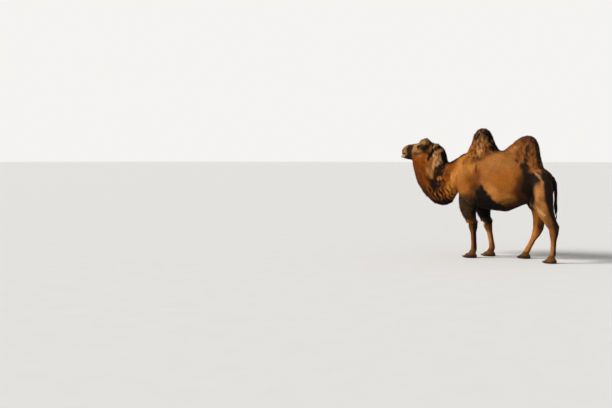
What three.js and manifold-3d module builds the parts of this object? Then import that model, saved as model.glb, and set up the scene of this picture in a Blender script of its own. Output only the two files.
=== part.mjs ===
// A life-size bactrian camel standing at ease, as a still museum model.
// Millimetres. The animal faces -Y, its left side is +X, and it stands on Z = 0.
// Each solid reaches out to the tips of the coat. Flesh is lofted whole and parted with thin cuts.
import * as THREE from "three";
import { mergeVertices } from "three/addons/utils/BufferGeometryUtils.js";
import Module from "manifold-3d";

const wasm = await Module();
wasm.setup();

// Driving dimensions
const GAP = 0.5; // clearance between neighbouring pieces
const HEAD_TURN = THREE.MathUtils.degToRad(14); // the head looks a little to the animal's left
const TURN_FROM = -560; // the neck starts to bend here, along Y
const TURN_TO = -1060; // and is straight again from here on
const TRACK = 200; // from the body's middle to the middle of a foot
const EYE_RADIUS = 25;
const EYE = [92, -1198, 1822];
const FRONT_PAD = { length: 232, width: 196, height: 78 };
const HIND_PAD = { length: 212, width: 172, height: 74 };
const TOE_CLEFT = 9; // width of the cleft between the two toes
const PAD_SLOPE = 0.3; // the foot's top lies this much further back for each step up
const NAIL = { length: 44, width: 34, height: 34, tilt: -28 };

const COLOURS = {
  coat: 0x9a5a2c,
  neck: 0x7d4322,
  mane: 0x8a5a34,
  dark: 0x33241d,
  leg: 0x9c6a3f,
  face: 0x8f5f3a,
  lip: 0xb39a7c,
  nail: 0x4a4038,
  pad: 0x3d332c,
  eye: 0x140d09,
};

// ---------- solids ----------

function solidOf(geometry) {
  geometry.deleteAttribute("normal");
  geometry.deleteAttribute("uv");
  const merged = mergeVertices(geometry, 1e-3);
  return new wasm.Manifold(
    new wasm.Mesh({
      numProp: 3,
      vertProperties: merged.attributes.position.array,
      triVerts: new Uint32Array(merged.index.array),
    }),
  );
}

const join = (first, ...rest) => rest.reduce((a, b) => a.add(b), first);
const cut = (from, ...cutters) => cutters.reduce((a, b) => a.subtract(b), from);

// The biggest body of a solid, without the crumbs that a cut can leave.
function biggest(solid) {
  const bodies = solid.decompose();
  return bodies.reduce((a, b) => (b.volume() > a.volume() ? b : a));
}

// The neck and all that it carries bend to the left, on an arc from TURN_FROM to TURN_TO.
function turned(p) {
  const reach = Math.max(0, TURN_FROM - p.y);
  const arc = TURN_FROM - TURN_TO;
  const radius = arc / HEAD_TURN;
  const angle = (Math.min(reach, arc) / arc) * HEAD_TURN;
  const past = Math.max(0, reach - arc);
  const side = p.x - radius;
  if (reach === 0) return p;
  return new THREE.Vector3(
    radius + side * Math.cos(angle) + past * Math.sin(angle),
    TURN_FROM + side * Math.sin(angle) - past * Math.cos(angle),
    p.z,
  );
}

const middle = (ring) =>
  ring.reduce((sum, p) => sum.add(p), new THREE.Vector3()).divideScalar(ring.length);

// The end rings of a form that is grown move outwards too.
function pushEnds(rings, grow) {
  for (const [end, next] of [[0, 1], [rings.length - 1, rings.length - 2]]) {
    const out = middle(rings[end]).sub(middle(rings[next])).setLength(2 * grow);
    rings[end].forEach((p) => p.add(out));
  }
  return rings;
}

// Rings of points, first to last, closed over with a fan at each end.
function skinOver(rings, place = (p) => p) {
  const sides = rings[0].length;
  const points = [...rings.flat(), middle(rings[0]), middle(rings.at(-1))].map(place);
  const head = rings.length * sides;
  const faces = [];
  for (let r = 0; r < rings.length - 1; r++)
    for (let s = 0; s < sides; s++) {
      const a = r * sides + s;
      const b = r * sides + ((s + 1) % sides);
      faces.push(a, b, b + sides, a, b + sides, a + sides);
    }
  const last = head - sides;
  for (let s = 0; s < sides; s++) {
    const next = (s + 1) % sides;
    faces.push(head, next, s, head + 1, last + s, last + next);
  }
  const geometry = new THREE.BufferGeometry().setFromPoints(points);
  geometry.setIndex(faces);
  const made = solidOf(geometry);
  if (made.volume() > 0) return made;
  for (let i = 0; i < faces.length; i += 3)
    [faces[i + 1], faces[i + 2]] = [faces[i + 2], faces[i + 1]];
  geometry.setIndex(faces);
  return solidOf(geometry);
}

// A smooth value through one number of every section, at t from 0 to 1.
function through(values) {
  const rail = new THREE.CatmullRomCurve3(
    values.map((v) => new THREE.Vector3(v, 0, 0)),
    false,
    "catmullrom",
  );
  return (t) => rail.getPoint(t).x;
}

// One ring. Half widths shrink upwards by `heavy`, and `full` above 1 squares the section up.
function ring(centre, up, across, { half, heavy, full, sides }) {
  return Array.from({ length: sides }, (_, i) => {
    const angle = (2 * Math.PI * i) / sides;
    const c = Math.sign(Math.cos(angle)) * Math.abs(Math.cos(angle)) ** (1 / full);
    const s = Math.sign(Math.sin(angle)) * Math.abs(Math.sin(angle)) ** (1 / full);
    return centre
      .clone()
      .addScaledVector(up, c)
      .addScaledVector(across, s * half * (1 - heavy * c));
  });
}

// A form between an upper and a lower line in the middle plane: each section has
// top [y, z], bottom [y, z] and half width, and may lean to one side by x.
function profile(sections, { sides = 18, steps = 1, grow = 0, heavy = 0, full = 1, place } = {}) {
  const value = (pick) => through(sections.map(pick));
  const topY = value((s) => s.top[0]);
  const topZ = value((s) => s.top[1]);
  const bottomY = value((s) => s.bottom[0]);
  const bottomZ = value((s) => s.bottom[1]);
  const half = value((s) => s.half);
  const lean = value((s) => s.x ?? 0);
  const weight = value((s) => s.heavy ?? heavy);
  const count = (sections.length - 1) * steps;
  const rings = Array.from({ length: count + 1 }, (_, i) => {
    const t = i / count;
    const top = new THREE.Vector3(lean(t), topY(t), topZ(t));
    const bottom = new THREE.Vector3(lean(t), bottomY(t), bottomZ(t));
    const up = top.clone().sub(bottom).multiplyScalar(0.5);
    up.setLength(up.length() + grow);
    return ring(top.add(bottom).multiplyScalar(0.5), up, new THREE.Vector3(1, 0, 0), {
      half: half(t) + grow,
      heavy: weight(t),
      full,
      sides,
    });
  });
  return skinOver(grow ? pushEnds(rings, grow) : rings, place);
}

// A form round a bent line of joints: each section has its joint [x, y, z] and how far it
// reaches to the front, to the back and to each side of that line.
function limb(sections, { sides = 12, steps = 1, grow = 0, full = 1, place } = {}) {
  const line = new THREE.CatmullRomCurve3(
    sections.map((s) => new THREE.Vector3(...s.at)),
    false,
    "catmullrom",
  );
  const front = through(sections.map((s) => s.front));
  const back = through(sections.map((s) => s.back));
  const half = through(sections.map((s) => s.half));
  const count = (sections.length - 1) * steps;
  const rings = Array.from({ length: count + 1 }, (_, i) => {
    const t = i / count;
    const along = line.getTangent(t);
    const across = new THREE.Vector3(1, 0, 0).projectOnPlane(along).normalize();
    const forward = across.clone().cross(along).normalize();
    if (forward.y > 0) forward.negate();
    const reach = (front(t) + back(t)) / 2 + grow;
    const centre = line.getPoint(t).addScaledVector(forward, (front(t) - back(t)) / 2);
    return ring(centre, forward.multiplyScalar(reach), across, {
      half: half(t) + grow,
      heavy: 0,
      full,
      sides,
    });
  });
  return skinOver(grow ? pushEnds(rings, grow) : rings, place);
}

// A geometry with every point moved to where `place` puts it.
function placed(geometry, place) {
  const position = geometry.attributes.position;
  for (let i = 0; i < position.count; i++) {
    const p = place(new THREE.Vector3().fromBufferAttribute(position, i));
    position.setXYZ(i, p.x, p.y, p.z);
  }
  return geometry;
}

// An egg with its three radii, turned by three angles in degrees about X, Y and Z.
function egg(radii, at, angles = [0, 0, 0], place = (p) => p, segments = 6) {
  const geometry = new THREE.SphereGeometry(1, segments, Math.round(segments * 0.7));
  geometry.scale(...radii);
  const turn = new THREE.Euler(...angles.map(THREE.MathUtils.degToRad));
  geometry.applyMatrix4(new THREE.Matrix4().makeRotationFromEuler(turn));
  geometry.translate(...at);
  return solidOf(placed(geometry, place));
}

// A thin slab to part a piece with, square to `normal` [y, z] in the middle plane.
function slab(at, normal, size, thick = GAP) {
  const geometry = new THREE.BoxGeometry(size[0], size[1], thick);
  geometry.rotateX(-Math.atan2(normal[0], normal[1]));
  geometry.translate(...at);
  return solidOf(geometry);
}

const mirrored = ([x, y, z], side) => [x * side, y, z];

// ---------- trunk and humps ----------

const TRUNK = [
  { top: [-500, 1330], bottom: [-490, 1210], half: 55 },
  { top: [-462, 1480], bottom: [-455, 1040], half: 165 },
  { top: [-340, 1640], bottom: [-345, 905], half: 235 },
  { top: [-130, 1715], bottom: [-120, 820], half: 305 },
  { top: [120, 1752], bottom: [120, 786], half: 372 },
  { top: [350, 1762], bottom: [345, 768], half: 395 },
  { top: [560, 1675], bottom: [560, 862], half: 368 },
  { top: [760, 1590], bottom: [745, 930], half: 300 },
  { top: [930, 1475], bottom: [895, 985], half: 232 },
  { top: [1040, 1385], bottom: [1020, 1080], half: 155 },
  { top: [1082, 1320], bottom: [1075, 1190], half: 70 },
];

const FRONT_HUMP = [
  { top: [-396, 1560], bottom: [230, 1580], half: 225 },
  { top: [-332, 1760], bottom: [216, 1745], half: 174 },
  { top: [-268, 1880], bottom: [148, 1850], half: 144 },
  { top: [-242, 1990], bottom: [98, 1965], half: 122 },
  { top: [-186, 2085], bottom: [56, 2060], half: 96 },
  { top: [-110, 2130], bottom: [-18, 2122], half: 44 },
];

const REAR_HUMP = [
  { top: [262, 1580], bottom: [958, 1440], half: 208 },
  { top: [314, 1770], bottom: [920, 1590], half: 172, x: 6 },
  { top: [414, 1848], bottom: [890, 1745], half: 150, x: 14 },
  { top: [512, 1925], bottom: [870, 1850], half: 126, x: 22 },
  { top: [604, 1975], bottom: [832, 1930], half: 92, x: 28 },
  { top: [680, 1995], bottom: [772, 1988], half: 42, x: 32 },
];

const trunkForm = profile(TRUNK, { sides: 20, heavy: 0.1, full: 1.12 });
const hump = (sections, grow = 0) => profile(sections, { sides: 14, steps: 2, grow, full: 1.08 });

// ---------- neck, mane and beard ----------

const NECK = [
  { top: [-905, 1850], bottom: [-1250, 1668], half: 88 },
  { top: [-850, 1800], bottom: [-1334, 1592], half: 110 },
  { top: [-792, 1690], bottom: [-1302, 1428], half: 122 },
  { top: [-745, 1590], bottom: [-1242, 1215], half: 132 },
  { top: [-680, 1562], bottom: [-1105, 1008], half: 150 },
  { top: [-590, 1598], bottom: [-942, 864], half: 168 },
  { top: [-500, 1655], bottom: [-775, 824], half: 182 },
  { top: [-430, 1698], bottom: [-650, 862], half: 190 },
  { top: [-370, 1720], bottom: [-568, 1000], half: 205 },
  { top: [-300, 1735], bottom: [-455, 1130], half: 215 },
];

const MANE = [
  { top: [-985, 1908], bottom: [-1020, 1835], half: 54 },
  { top: [-872, 1882], bottom: [-1000, 1700], half: 100 },
  { top: [-770, 1808], bottom: [-1010, 1530], half: 142 },
  { top: [-724, 1688], bottom: [-1050, 1372], half: 160 },
  { top: [-706, 1592], bottom: [-935, 1265], half: 168 },
  { top: [-678, 1548], bottom: [-835, 1195], half: 156 },
  { top: [-646, 1530], bottom: [-735, 1260], half: 118 },
];

const neckForm = profile(NECK, { sides: 16, place: turned });
const mane = (grow = 0) => profile(MANE, { sides: 14, grow, place: turned });

// ---------- head ----------

const HEAD = [
  { top: [-1508, 1764], bottom: [-1498, 1712], half: 26 },
  { top: [-1490, 1802], bottom: [-1504, 1664], half: 47 },
  { top: [-1448, 1846], bottom: [-1468, 1630], half: 61 },
  { top: [-1392, 1870], bottom: [-1398, 1608], half: 63 },
  { top: [-1325, 1876], bottom: [-1335, 1600], half: 70 },
  { top: [-1255, 1886], bottom: [-1262, 1606], half: 86 },
  { top: [-1180, 1902], bottom: [-1185, 1614], half: 98 },
  { top: [-1100, 1902], bottom: [-1115, 1625], half: 98 },
  { top: [-1015, 1885], bottom: [-1050, 1665], half: 86 },
  { top: [-945, 1840], bottom: [-975, 1740], half: 48 },
];

const TOPKNOT = [
  { top: [-1216, 1912], bottom: [-1210, 1880], half: 30 },
  { top: [-1188, 1946], bottom: [-1186, 1855], half: 60 },
  { top: [-1136, 1966], bottom: [-1130, 1845], half: 74 },
  { top: [-1080, 1990], bottom: [-1072, 1840], half: 72 },
  { top: [-1036, 1954], bottom: [-1034, 1840], half: 62 },
  { top: [-990, 1922], bottom: [-994, 1858], half: 42 },
];

// Lumps on the left side of the face, repeated on the right: radii, place and tilt in degrees.
const FACE = [
  { name: "brow", radii: [24, 62, 22], at: [80, -1194, 1860], tilt: 0 },
  { name: "cheekbone", radii: [24, 80, 24], at: [76, -1196, 1786], tilt: -6 },
  { name: "upper lip", radii: [31, 46, 40], at: [29, -1458, 1746], tilt: 0 },
  { name: "nostril rim", radii: [15, 32, 22], at: [45, -1436, 1804], tilt: 30 },
];
const LOWER_LIP = { radii: [42, 40, 27], at: [0, -1490, 1664] };
const NOSTRIL = { radii: [20, 26, 6], at: [62, -1442, 1800], tilt: 34 };
const LIP_CLEFT = { radii: [3, 24, 36], at: [0, -1514, 1748] };
const OPEN_LIPS = { radii: [90, 44, 12], at: [0, -1516, 1701], tilt: 4 };
const SOCKET_ROOM = 6; // between the eyeball and its socket
// The two flat cuts that free the jaw: size, middle and slope in radians.
const MOUTH = { size: [400, 320, 4], at: [0, -1460, 1698], slope: 0.06 };
const JAW_HINGE = { size: [400, 3, 150], at: [0, -1275, 1642], slope: 0.5 };

const eyeAt = (side) => mirrored(EYE, side);
const eyeball = (side, grow = 0) =>
  egg(Array(3).fill(EYE_RADIUS + grow), eyeAt(side), [0, 0, 0], turned, 8);

const both = (make) => [1, -1].map(make);

// The skull with the jaw still on it: brows, cheeks, muzzle and chin grown onto the long face.
function headMass(grow = 0) {
  const lump = (radii, at, tilt = 0) =>
    egg(radii.map((r) => r + grow), at, [tilt, 0, 0], turned);
  const pairs = FACE.flatMap(({ radii, at, tilt }) =>
    both((side) => lump(radii, mirrored(at, side), tilt)),
  );
  const skull = profile(HEAD, { sides: 16, place: turned, heavy: 0.06, grow });
  return join(skull, ...pairs, lump(LOWER_LIP.radii, LOWER_LIP.at));
}

function headForm() {
  const hollow = ({ radii, at, tilt = 0 }, side = 1) =>
    egg(radii, mirrored(at, side), [tilt, 0, 0], turned);
  const nostrils = both((side) => hollow(NOSTRIL, side));
  const sockets = both((side) => eyeball(side, SOCKET_ROOM));
  return cut(headMass(), ...nostrils, ...sockets, hollow(LIP_CLEFT), hollow(OPEN_LIPS));
}

// The mouth runs back from the lips and then drops behind the cheek, so that the jaw comes free.
function mouthCut() {
  return [MOUTH, JAW_HINGE].map(({ size, at, slope }) => {
    const box = new THREE.BoxGeometry(...size);
    box.rotateX(slope);
    box.translate(...at);
    return solidOf(placed(box, turned));
  });
}

const topknot = (grow = 0) => profile(TOPKNOT, { sides: 14, grow, place: turned });

// A small round ear, open to the front and side, on a short stalk.
function ear(side, grow = 0) {
  const at = (x, y, z) => mirrored([x, y, z], side);
  const outer = limb(
    [
      { at: at(66, -958, 1776), front: 24 + grow, back: 22 + grow, half: 18 + grow },
      { at: at(95, -943, 1806), front: 40 + grow, back: 30 + grow, half: 22 + grow },
      { at: at(115, -920, 1842), front: 42 + grow, back: 32 + grow, half: 20 + grow },
      { at: at(126, -896, 1876), front: 17 + grow, back: 16 + grow, half: 8 + grow },
    ],
    { sides: 8, place: turned },
  );
  const bowl = egg([14, 26, 34], at(122, -950, 1834), [-24, side * 24, 0], turned, 8);
  return grow ? outer : cut(outer, bowl);
}

// ---------- legs ----------

// Foreleg joints from the shoulder blade down, with the woolly forearm as part of the form.
function foreleg(side, { knee, fetlock, shift }) {
  const x = (value) => value * side;
  const between = (t) => knee[0] + (fetlock[0] - knee[0]) * t;
  return [
    { at: [x(120), -255 + shift, 1560], front: 60, back: 70, half: 40 },
    { at: [x(172), -268 + shift, 1430], front: 128, back: 132, half: 92 },
    { at: [x(205), -262 + shift, 1270], front: 168, back: 172, half: 118 },
    { at: [x(226), -238 + shift, 1110], front: 168, back: 176, half: 124 },
    { at: [x(232), -226 + shift, 950], front: 170, back: 168, half: 128 },
    { at: [x(230), -212 + shift, 800], front: 158, back: 152, half: 120 },
    { at: [x(224), -190 + shift, 672], front: 106, back: 106, half: 90 },
    { at: [x(216), knee[0], knee[1] + 50], front: 76, back: 82, half: 68 },
    { at: [x(212), knee[0], knee[1] - 30], front: 74, back: 80, half: 66 },
    { at: [x(207), between(0.4), knee[1] - 130], front: 48, back: 51, half: 44 },
    { at: [x(TRACK), between(0.75), knee[1] - 270], front: 43, back: 46, half: 40 },
    { at: [x(TRACK), fetlock[0], fetlock[1] + 10], front: 50, back: 50, half: 49 },
    { at: [x(TRACK), fetlock[0] - 28, fetlock[1] - 62], front: 58, back: 54, half: 56 },
    { at: [x(TRACK), fetlock[0] - 42, fetlock[1] - 98], front: 58, back: 58, half: 58 },
  ];
}

// Hind leg joints from the hip down.
function hindLeg(side, { thigh, stifle, gaskin, hock, fetlock }) {
  const x = (value) => value * side;
  const between = (t) => hock.map((from, i) => from + (fetlock[i] - from) * t);
  const shin = gaskin.map((from, i) => (from + hock[i]) / 2);
  return [
    { at: [x(110), 880, 1445], front: 84, back: 70, half: 46 },
    { at: [x(145), 905, 1350], front: 148, back: 135, half: 92 },
    { at: [x(172), ...thigh], front: 160, back: 162, half: 124 },
    { at: [x(200), ...stifle], front: 164, back: 160, half: 122 },
    { at: [x(208), ...gaskin], front: 136, back: 132, half: 94 },
    { at: [x(206), ...shin], front: 96, back: 108, half: 68 },
    { at: [x(204), hock[0], hock[1] + 24], front: 80, back: 94, half: 60 },
    { at: [x(202), ...between(0.16)], front: 66, back: 76, half: 55 },
    { at: [x(TRACK), ...between(0.45)], front: 42, back: 49, half: 41 },
    { at: [x(TRACK), ...between(0.78)], front: 41, back: 46, half: 39 },
    { at: [x(TRACK), ...fetlock], front: 48, back: 48, half: 46 },
    { at: [x(TRACK), fetlock[0] - 28, fetlock[1] - 62], front: 54, back: 50, half: 52 },
    { at: [x(TRACK), fetlock[0] - 40, fetlock[1] - 98], front: 52, back: 52, half: 52 },
  ];
}

const LEGS = {
  foreleg_left: {
    sections: foreleg(1, { knee: [-143, 545], fetlock: [-125, 140], shift: 0 }),
    cuts: [[-190, 628], [-128, 128]],
    foot: -196,
    pad: FRONT_PAD,
    side: 1,
  },
  foreleg_right: {
    sections: foreleg(-1, { knee: [-66, 540], fetlock: [24, 140], shift: 62 }),
    cuts: [[-120, 628], [18, 128]],
    foot: -42,
    pad: FRONT_PAD,
    side: -1,
  },
  hind_leg_left: {
    sections: hindLeg(1, {
      thigh: [985, 1215],
      stifle: [1022, 1000],
      gaskin: [1062, 800],
      hock: [1192, 520],
      fetlock: [1184, 138],
    }),
    cuts: [[1150, 610], [1175, 126]],
    foot: 1138,
    pad: HIND_PAD,
    side: 1,
  },
  hind_leg_right: {
    sections: hindLeg(-1, {
      thigh: [915, 1215],
      stifle: [868, 1000],
      gaskin: [815, 790],
      hock: [796, 480],
      fetlock: [628, 138],
    }),
    cuts: [[800, 590], [624, 126]],
    foot: 572,
    pad: HIND_PAD,
    side: -1,
  },
};

// A broad flat foot on two toes: a low dome with a cleft in front and a level sole.
function pad({ foot, side, pad: size }, grow = 0) {
  const x = TRACK * side;
  const rim = [
    new THREE.Vector2(0, 0),
    new THREE.Vector2(0.44, 0),
    new THREE.Vector2(0.5, 0.14),
    new THREE.Vector2(0.48, 0.42),
    new THREE.Vector2(0.4, 0.74),
    new THREE.Vector2(0.29, 1.0),
    new THREE.Vector2(0, 1.0),
  ];
  const dome = new THREE.LatheGeometry(rim, 12);
  dome.rotateX(Math.PI / 2);
  const slope = new THREE.Matrix4().makeShear(0, 0, 0, 0, 0, PAD_SLOPE);
  dome.scale(size.width + grow, size.length + grow, size.height + grow);
  dome.applyMatrix4(slope);
  dome.translate(x, foot, grow ? -grow : 0);
  const cleft = new THREE.BoxGeometry(TOE_CLEFT, size.length * 0.42, size.height * 0.9);
  cleft.translate(x, foot - size.length / 2, size.height * 0.4);
  return grow ? solidOf(dome) : cut(solidOf(dome), solidOf(cleft));
}

// One nail on the tip of each toe.
function nail({ foot, side, pad: size }, toe, grow = 0) {
  const x = TRACK * side + toe * size.width * 0.22;
  const at = [x, foot - size.length * 0.435, NAIL.height * 0.62];
  const radii = [NAIL.width, NAIL.length, NAIL.height].map((size) => size / 2 + grow);
  return egg(radii, at, [NAIL.tilt, 0, 0]);
}

// ---------- tail ----------

const TAIL = [
  { at: [0, 1020, 1340], front: 40, back: 40, half: 46 },
  { at: [0, 1090, 1316], front: 42, back: 40, half: 48 },
  { at: [4, 1136, 1230], front: 36, back: 32, half: 40 },
  { at: [8, 1150, 1090], front: 30, back: 28, half: 36 },
  { at: [12, 1152, 960], front: 30, back: 30, half: 42 },
  { at: [14, 1156, 850], front: 26, back: 26, half: 36 },
  { at: [16, 1162, 765], front: 8, back: 8, half: 12 },
];

// ---------- assembly ----------

const animal = new THREE.Group();

function add(name, solid, colour, roughness = 0.9) {
  const whole = biggest(solid);
  const mesh = whole.getMesh();
  const points = new Float32Array(mesh.numVert * 3);
  for (let i = 0; i < mesh.numVert; i++)
    points.set(mesh.vertProperties.subarray(i * mesh.numProp, i * mesh.numProp + 3), i * 3);
  const geometry = new THREE.BufferGeometry();
  geometry.setAttribute("position", new THREE.BufferAttribute(points, 3));
  geometry.setIndex(new THREE.BufferAttribute(mesh.triVerts, 1));
  geometry.computeVertexNormals();
  const material = new THREE.MeshStandardMaterial({ color: colour, roughness, metalness: 0 });
  const made = new THREE.Mesh(geometry, material);
  made.name = name;
  animal.add(made);
  return whole;
}

// Bodies of a solid that thin cuts have parted, in the order of a measure of their boxes.
function parted(solid, cutters, measure) {
  const bodies = cut(solid, ...cutters).decompose();
  const least = 1e4; // cubic millimetres, to leave crumbs out
  return bodies
    .filter((b) => b.volume() > least)
    .sort((a, b) => measure(b.boundingBox()) - measure(a.boundingBox()));
}

const midHeight = (box) => box.min[2] + box.max[2];

const sides = { left: 1, right: -1 };
const tailForm = (grow = 0) => limb(TAIL, { sides: 12, grow });
const humps = { hump_front: FRONT_HUMP, hump_rear: REAR_HUMP };
const humpCutters = Object.values(humps).map((sections) => hump(sections, GAP));

// Humps and tail
for (const [name, sections] of Object.entries(humps)) add(name, hump(sections), COLOURS.coat);
const tailCut = slab([0, 1150, 1040], [0, 1], [200, 200]);
const [tail, tailTuft] = parted(tailForm(), [tailCut], midHeight);
add("tail", tail, COLOURS.coat);
add("tail_tuft", tailTuft, COLOURS.dark);

// Legs, each in an upper part, a lower part, a foot and two nails
const legCutters = [];
for (const [name, leg] of Object.entries(LEGS)) {
  legCutters.push(limb(leg.sections, { grow: GAP }));
  const levels = leg.cuts.map(([y, z]) => slab([TRACK * leg.side, y, z], [0, 1], [460, 460]));
  const [upper, lower, ankle] = parted(limb(leg.sections), levels, midHeight);
  const toes = Object.entries(sides);
  const sockets = toes.map(([, toe]) => nail(leg, toe, GAP));
  add(`${name}_upper`, cut(upper, ...humpCutters, tailForm(GAP)), COLOURS.coat);
  add(`${name}_lower`, cut(lower, pad(leg, GAP)), COLOURS.leg);
  add(`${name}_foot`, cut(join(pad(leg), ankle), ...sockets), COLOURS.pad);
  for (const [label, toe] of toes) add(`${name}_nail_${label}`, nail(leg, toe), COLOURS.nail, 0.5);
}

// Head
const earCutters = [];
for (const [label, side] of Object.entries(sides)) {
  add(`eye_${label}`, eyeball(side), COLOURS.eye, 0.1);
  add(`ear_${label}`, cut(ear(side), topknot(GAP), mane(GAP)), COLOURS.face);
  earCutters.push(ear(side, GAP));
}
add("mane", mane(), COLOURS.mane);
add("topknot", cut(topknot(), mane(GAP)), COLOURS.mane);
const skullCutters = [topknot(GAP), mane(GAP), ...earCutters];
const [skull, jaw] = parted(cut(headForm(), ...skullCutters), mouthCut(), midHeight);
add("head", skull, COLOURS.face);
add("jaw", jaw, COLOURS.lip);

// Neck in two lengths, and the trunk
const midDepth = (box) => box.min[1] + box.max[1];
const grown = [mane(GAP), headMass(GAP), tailForm(GAP)];
const neighbours = [...grown, ...earCutters, ...humpCutters, ...legCutters];
const body = cut(join(trunkForm, neckForm), ...neighbours);
const neckCuts = [
  slab([0, -500, 1330], [-1, 0.1], [900, 1400]),
  slab([0, -986, 1402], [-0.61, 0.79], [900, 900]),
];
const [trunk, neckLower, neckUpper] = parted(body, neckCuts, midDepth);
add("neck_upper", neckUpper, COLOURS.neck);
add("neck_lower", neckLower, COLOURS.neck);
add("trunk", trunk, COLOURS.coat);

const box = new THREE.Box3().setFromObject(animal);
const centre = box.getCenter(new THREE.Vector3());
animal.position.set(-centre.x, -centre.y, -box.min.z);

export default animal;
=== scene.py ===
# A bactrian camel as a still, life-size model for a museum, in metres.
# It faces -Y and its left side is +X, as in the frame. One skin lies inside the frame's solids by
# the depth of the coat, and the coat is solid locks of hair that grow out to those solids.
import itertools
import math
import re

import bmesh
import bpy
import numpy as np
from mathutils import Matrix, Vector
from mathutils.bvhtree import BVHTree
from mathutils.kdtree import KDTree


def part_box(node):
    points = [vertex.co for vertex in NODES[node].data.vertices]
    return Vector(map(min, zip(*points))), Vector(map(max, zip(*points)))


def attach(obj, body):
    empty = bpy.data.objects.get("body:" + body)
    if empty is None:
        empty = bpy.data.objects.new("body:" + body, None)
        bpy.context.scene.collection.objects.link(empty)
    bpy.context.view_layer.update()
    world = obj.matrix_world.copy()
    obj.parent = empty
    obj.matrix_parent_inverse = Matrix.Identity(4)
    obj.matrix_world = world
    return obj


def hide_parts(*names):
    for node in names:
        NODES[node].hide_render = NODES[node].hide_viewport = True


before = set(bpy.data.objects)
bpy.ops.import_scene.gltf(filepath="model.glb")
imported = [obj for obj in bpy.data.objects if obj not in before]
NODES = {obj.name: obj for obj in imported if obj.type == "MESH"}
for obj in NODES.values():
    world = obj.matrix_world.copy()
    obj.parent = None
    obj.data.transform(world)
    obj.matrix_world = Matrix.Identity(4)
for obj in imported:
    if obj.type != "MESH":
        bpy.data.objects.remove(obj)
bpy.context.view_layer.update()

UP = np.array([0.0, 0.0, 1.0])
MM = 0.001


# ---------- small helpers on arrays of points ----------

def unit(v):
    return v / np.maximum(np.linalg.norm(v, axis=-1, keepdims=True), 1e-9)


def rise(x, start, end):
    """0 up to start, 1 from end on, and smooth between. End may lie below start."""
    t = np.clip((x - start) / (end - start), 0, 1)
    return t * t * (3 - 2 * t)


def bump(x, centre, width):
    """1 at the centre, falling smoothly to nothing at about twice the width away."""
    return np.exp(-(((x - centre) / width) ** 2))


def inside(p, centre, radii, soft=0.35):
    """1 inside an egg and 0 outside, with a soft edge as a share of its radii."""
    d = np.linalg.norm((p - np.array(centre)) / np.array(radii), axis=1)
    return 1 - rise(d, 1 - soft, 1 + soft)


def ripple(p, size, seed):
    """Seeded noise from about -1 to 1, in lumps about `size` across."""
    draw = np.random.default_rng(seed)
    waves = unit(draw.normal(size=(12, 3))) * draw.uniform(0.5, 1.6, (12, 1)) * math.pi / size
    return np.sin(p @ waves.T + draw.uniform(0, 2 * math.pi, 12)).sum(axis=1) / 3.4


def wander(p, size, amount, seed):
    """Points pushed about a little, which makes the edges of a marking irregular."""
    return p + amount * np.stack([ripple(p, size, seed + i) for i in range(3)], axis=1)


def linear(code):
    """A colour written as hex, as the linear values that shaders use."""
    shown = np.array([int(code[i:i + 2], 16) for i in (0, 2, 4)]) / 255
    return np.where(shown <= 0.04045, shown / 12.92, ((shown + 0.055) / 1.055) ** 2.4)


def along_line(p, start, end):
    """How far from a straight line each point is."""
    start, end = np.array(start), np.array(end)
    span = end - start
    t = np.clip(((p - start) @ span) / (span @ span), 0, 1)
    return np.linalg.norm(p - (start + t[:, None] * span), axis=1)


# ---------- small helpers on Blender's data ----------

def placed(name, data):
    """A new object in the scene."""
    made = bpy.data.objects.new(name, data)
    bpy.context.scene.collection.objects.link(made)
    return made


def as_mesh(work, name):
    """A bmesh as a mesh of its own."""
    mesh = bpy.data.meshes.new(name)
    work.to_mesh(mesh)
    work.free()
    return mesh


def finished(mesh, material):
    """Smooth shading and one material."""
    mesh.polygons.foreach_set("use_smooth", np.ones(len(mesh.polygons), bool))
    mesh.materials.clear()
    mesh.materials.append(material)


def moved(mesh, points):
    """Puts a mesh's points in new places."""
    mesh.vertices.foreach_set("co", points.astype(np.float32).ravel())
    mesh.update()


def nearest_on(tree, points):
    """The nearest places on a tree, and the way its faces look there."""
    found = [tree.find_nearest(point)[:2] for point in points.tolist()]
    return (np.array([pair[i][:] for pair in found]) for i in (0, 1))


def look_along(way):
    """The rotation of a camera or a lamp that looks this way."""
    return way.to_track_quat("-Z", "Y").to_euler()


# ---------- the camera, at the photograph's viewing angle ----------

VIEW_FROM = math.radians(113)   # round the animal: 0 looks along +Y, 90 along -X
VIEW_DISTANCE = 14.0
VIEW_HEIGHT = 1.6
VIEW_CENTRE = (0.0, 0.1157)     # the point on the floor that the camera stands round
LOOK_ASIDE = math.radians(12.25)
LOOK_DOWN = math.radians(3.02)
LENS = 49.0


def make_camera():
    camera = placed("camera", bpy.data.cameras.new("camera"))
    out = Vector((math.sin(VIEW_FROM), -math.cos(VIEW_FROM), 0))
    camera.location = Vector((*VIEW_CENTRE, VIEW_HEIGHT)) + out * VIEW_DISTANCE
    look = Matrix.Rotation(LOOK_ASIDE, 3, "Z") @ -out
    look = look * math.cos(LOOK_DOWN) - Vector((0, 0, math.sin(LOOK_DOWN)))
    camera.rotation_euler = look_along(look)
    camera.data.lens = LENS
    camera.data.clip_end = 2 * FLOOR_REACH
    bpy.context.scene.camera = camera


# ---------- names of the parts and how the coat grows on each ----------

SEPARATE = [name for name in NODES if name.startswith("eye") or "_nail" in name]
FLESH = [name for name in NODES if name not in SEPARATE]


# The region of a node is the first of these whose pattern its name fits, or else its own name.
KINDS = (
    ("^neck", "neck"), ("^hump", "hump"), ("^ear", "ear"), ("^tail_tuft", "tuft"),
    ("_lower$", "shank"), ("_foot$", "foot"), ("^foreleg", "shoulder"), ("^hind_leg", "thigh"),
)


def region_of(name):
    return next((kind for pattern, kind in KINDS if re.search(pattern, name)), name)


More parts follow.
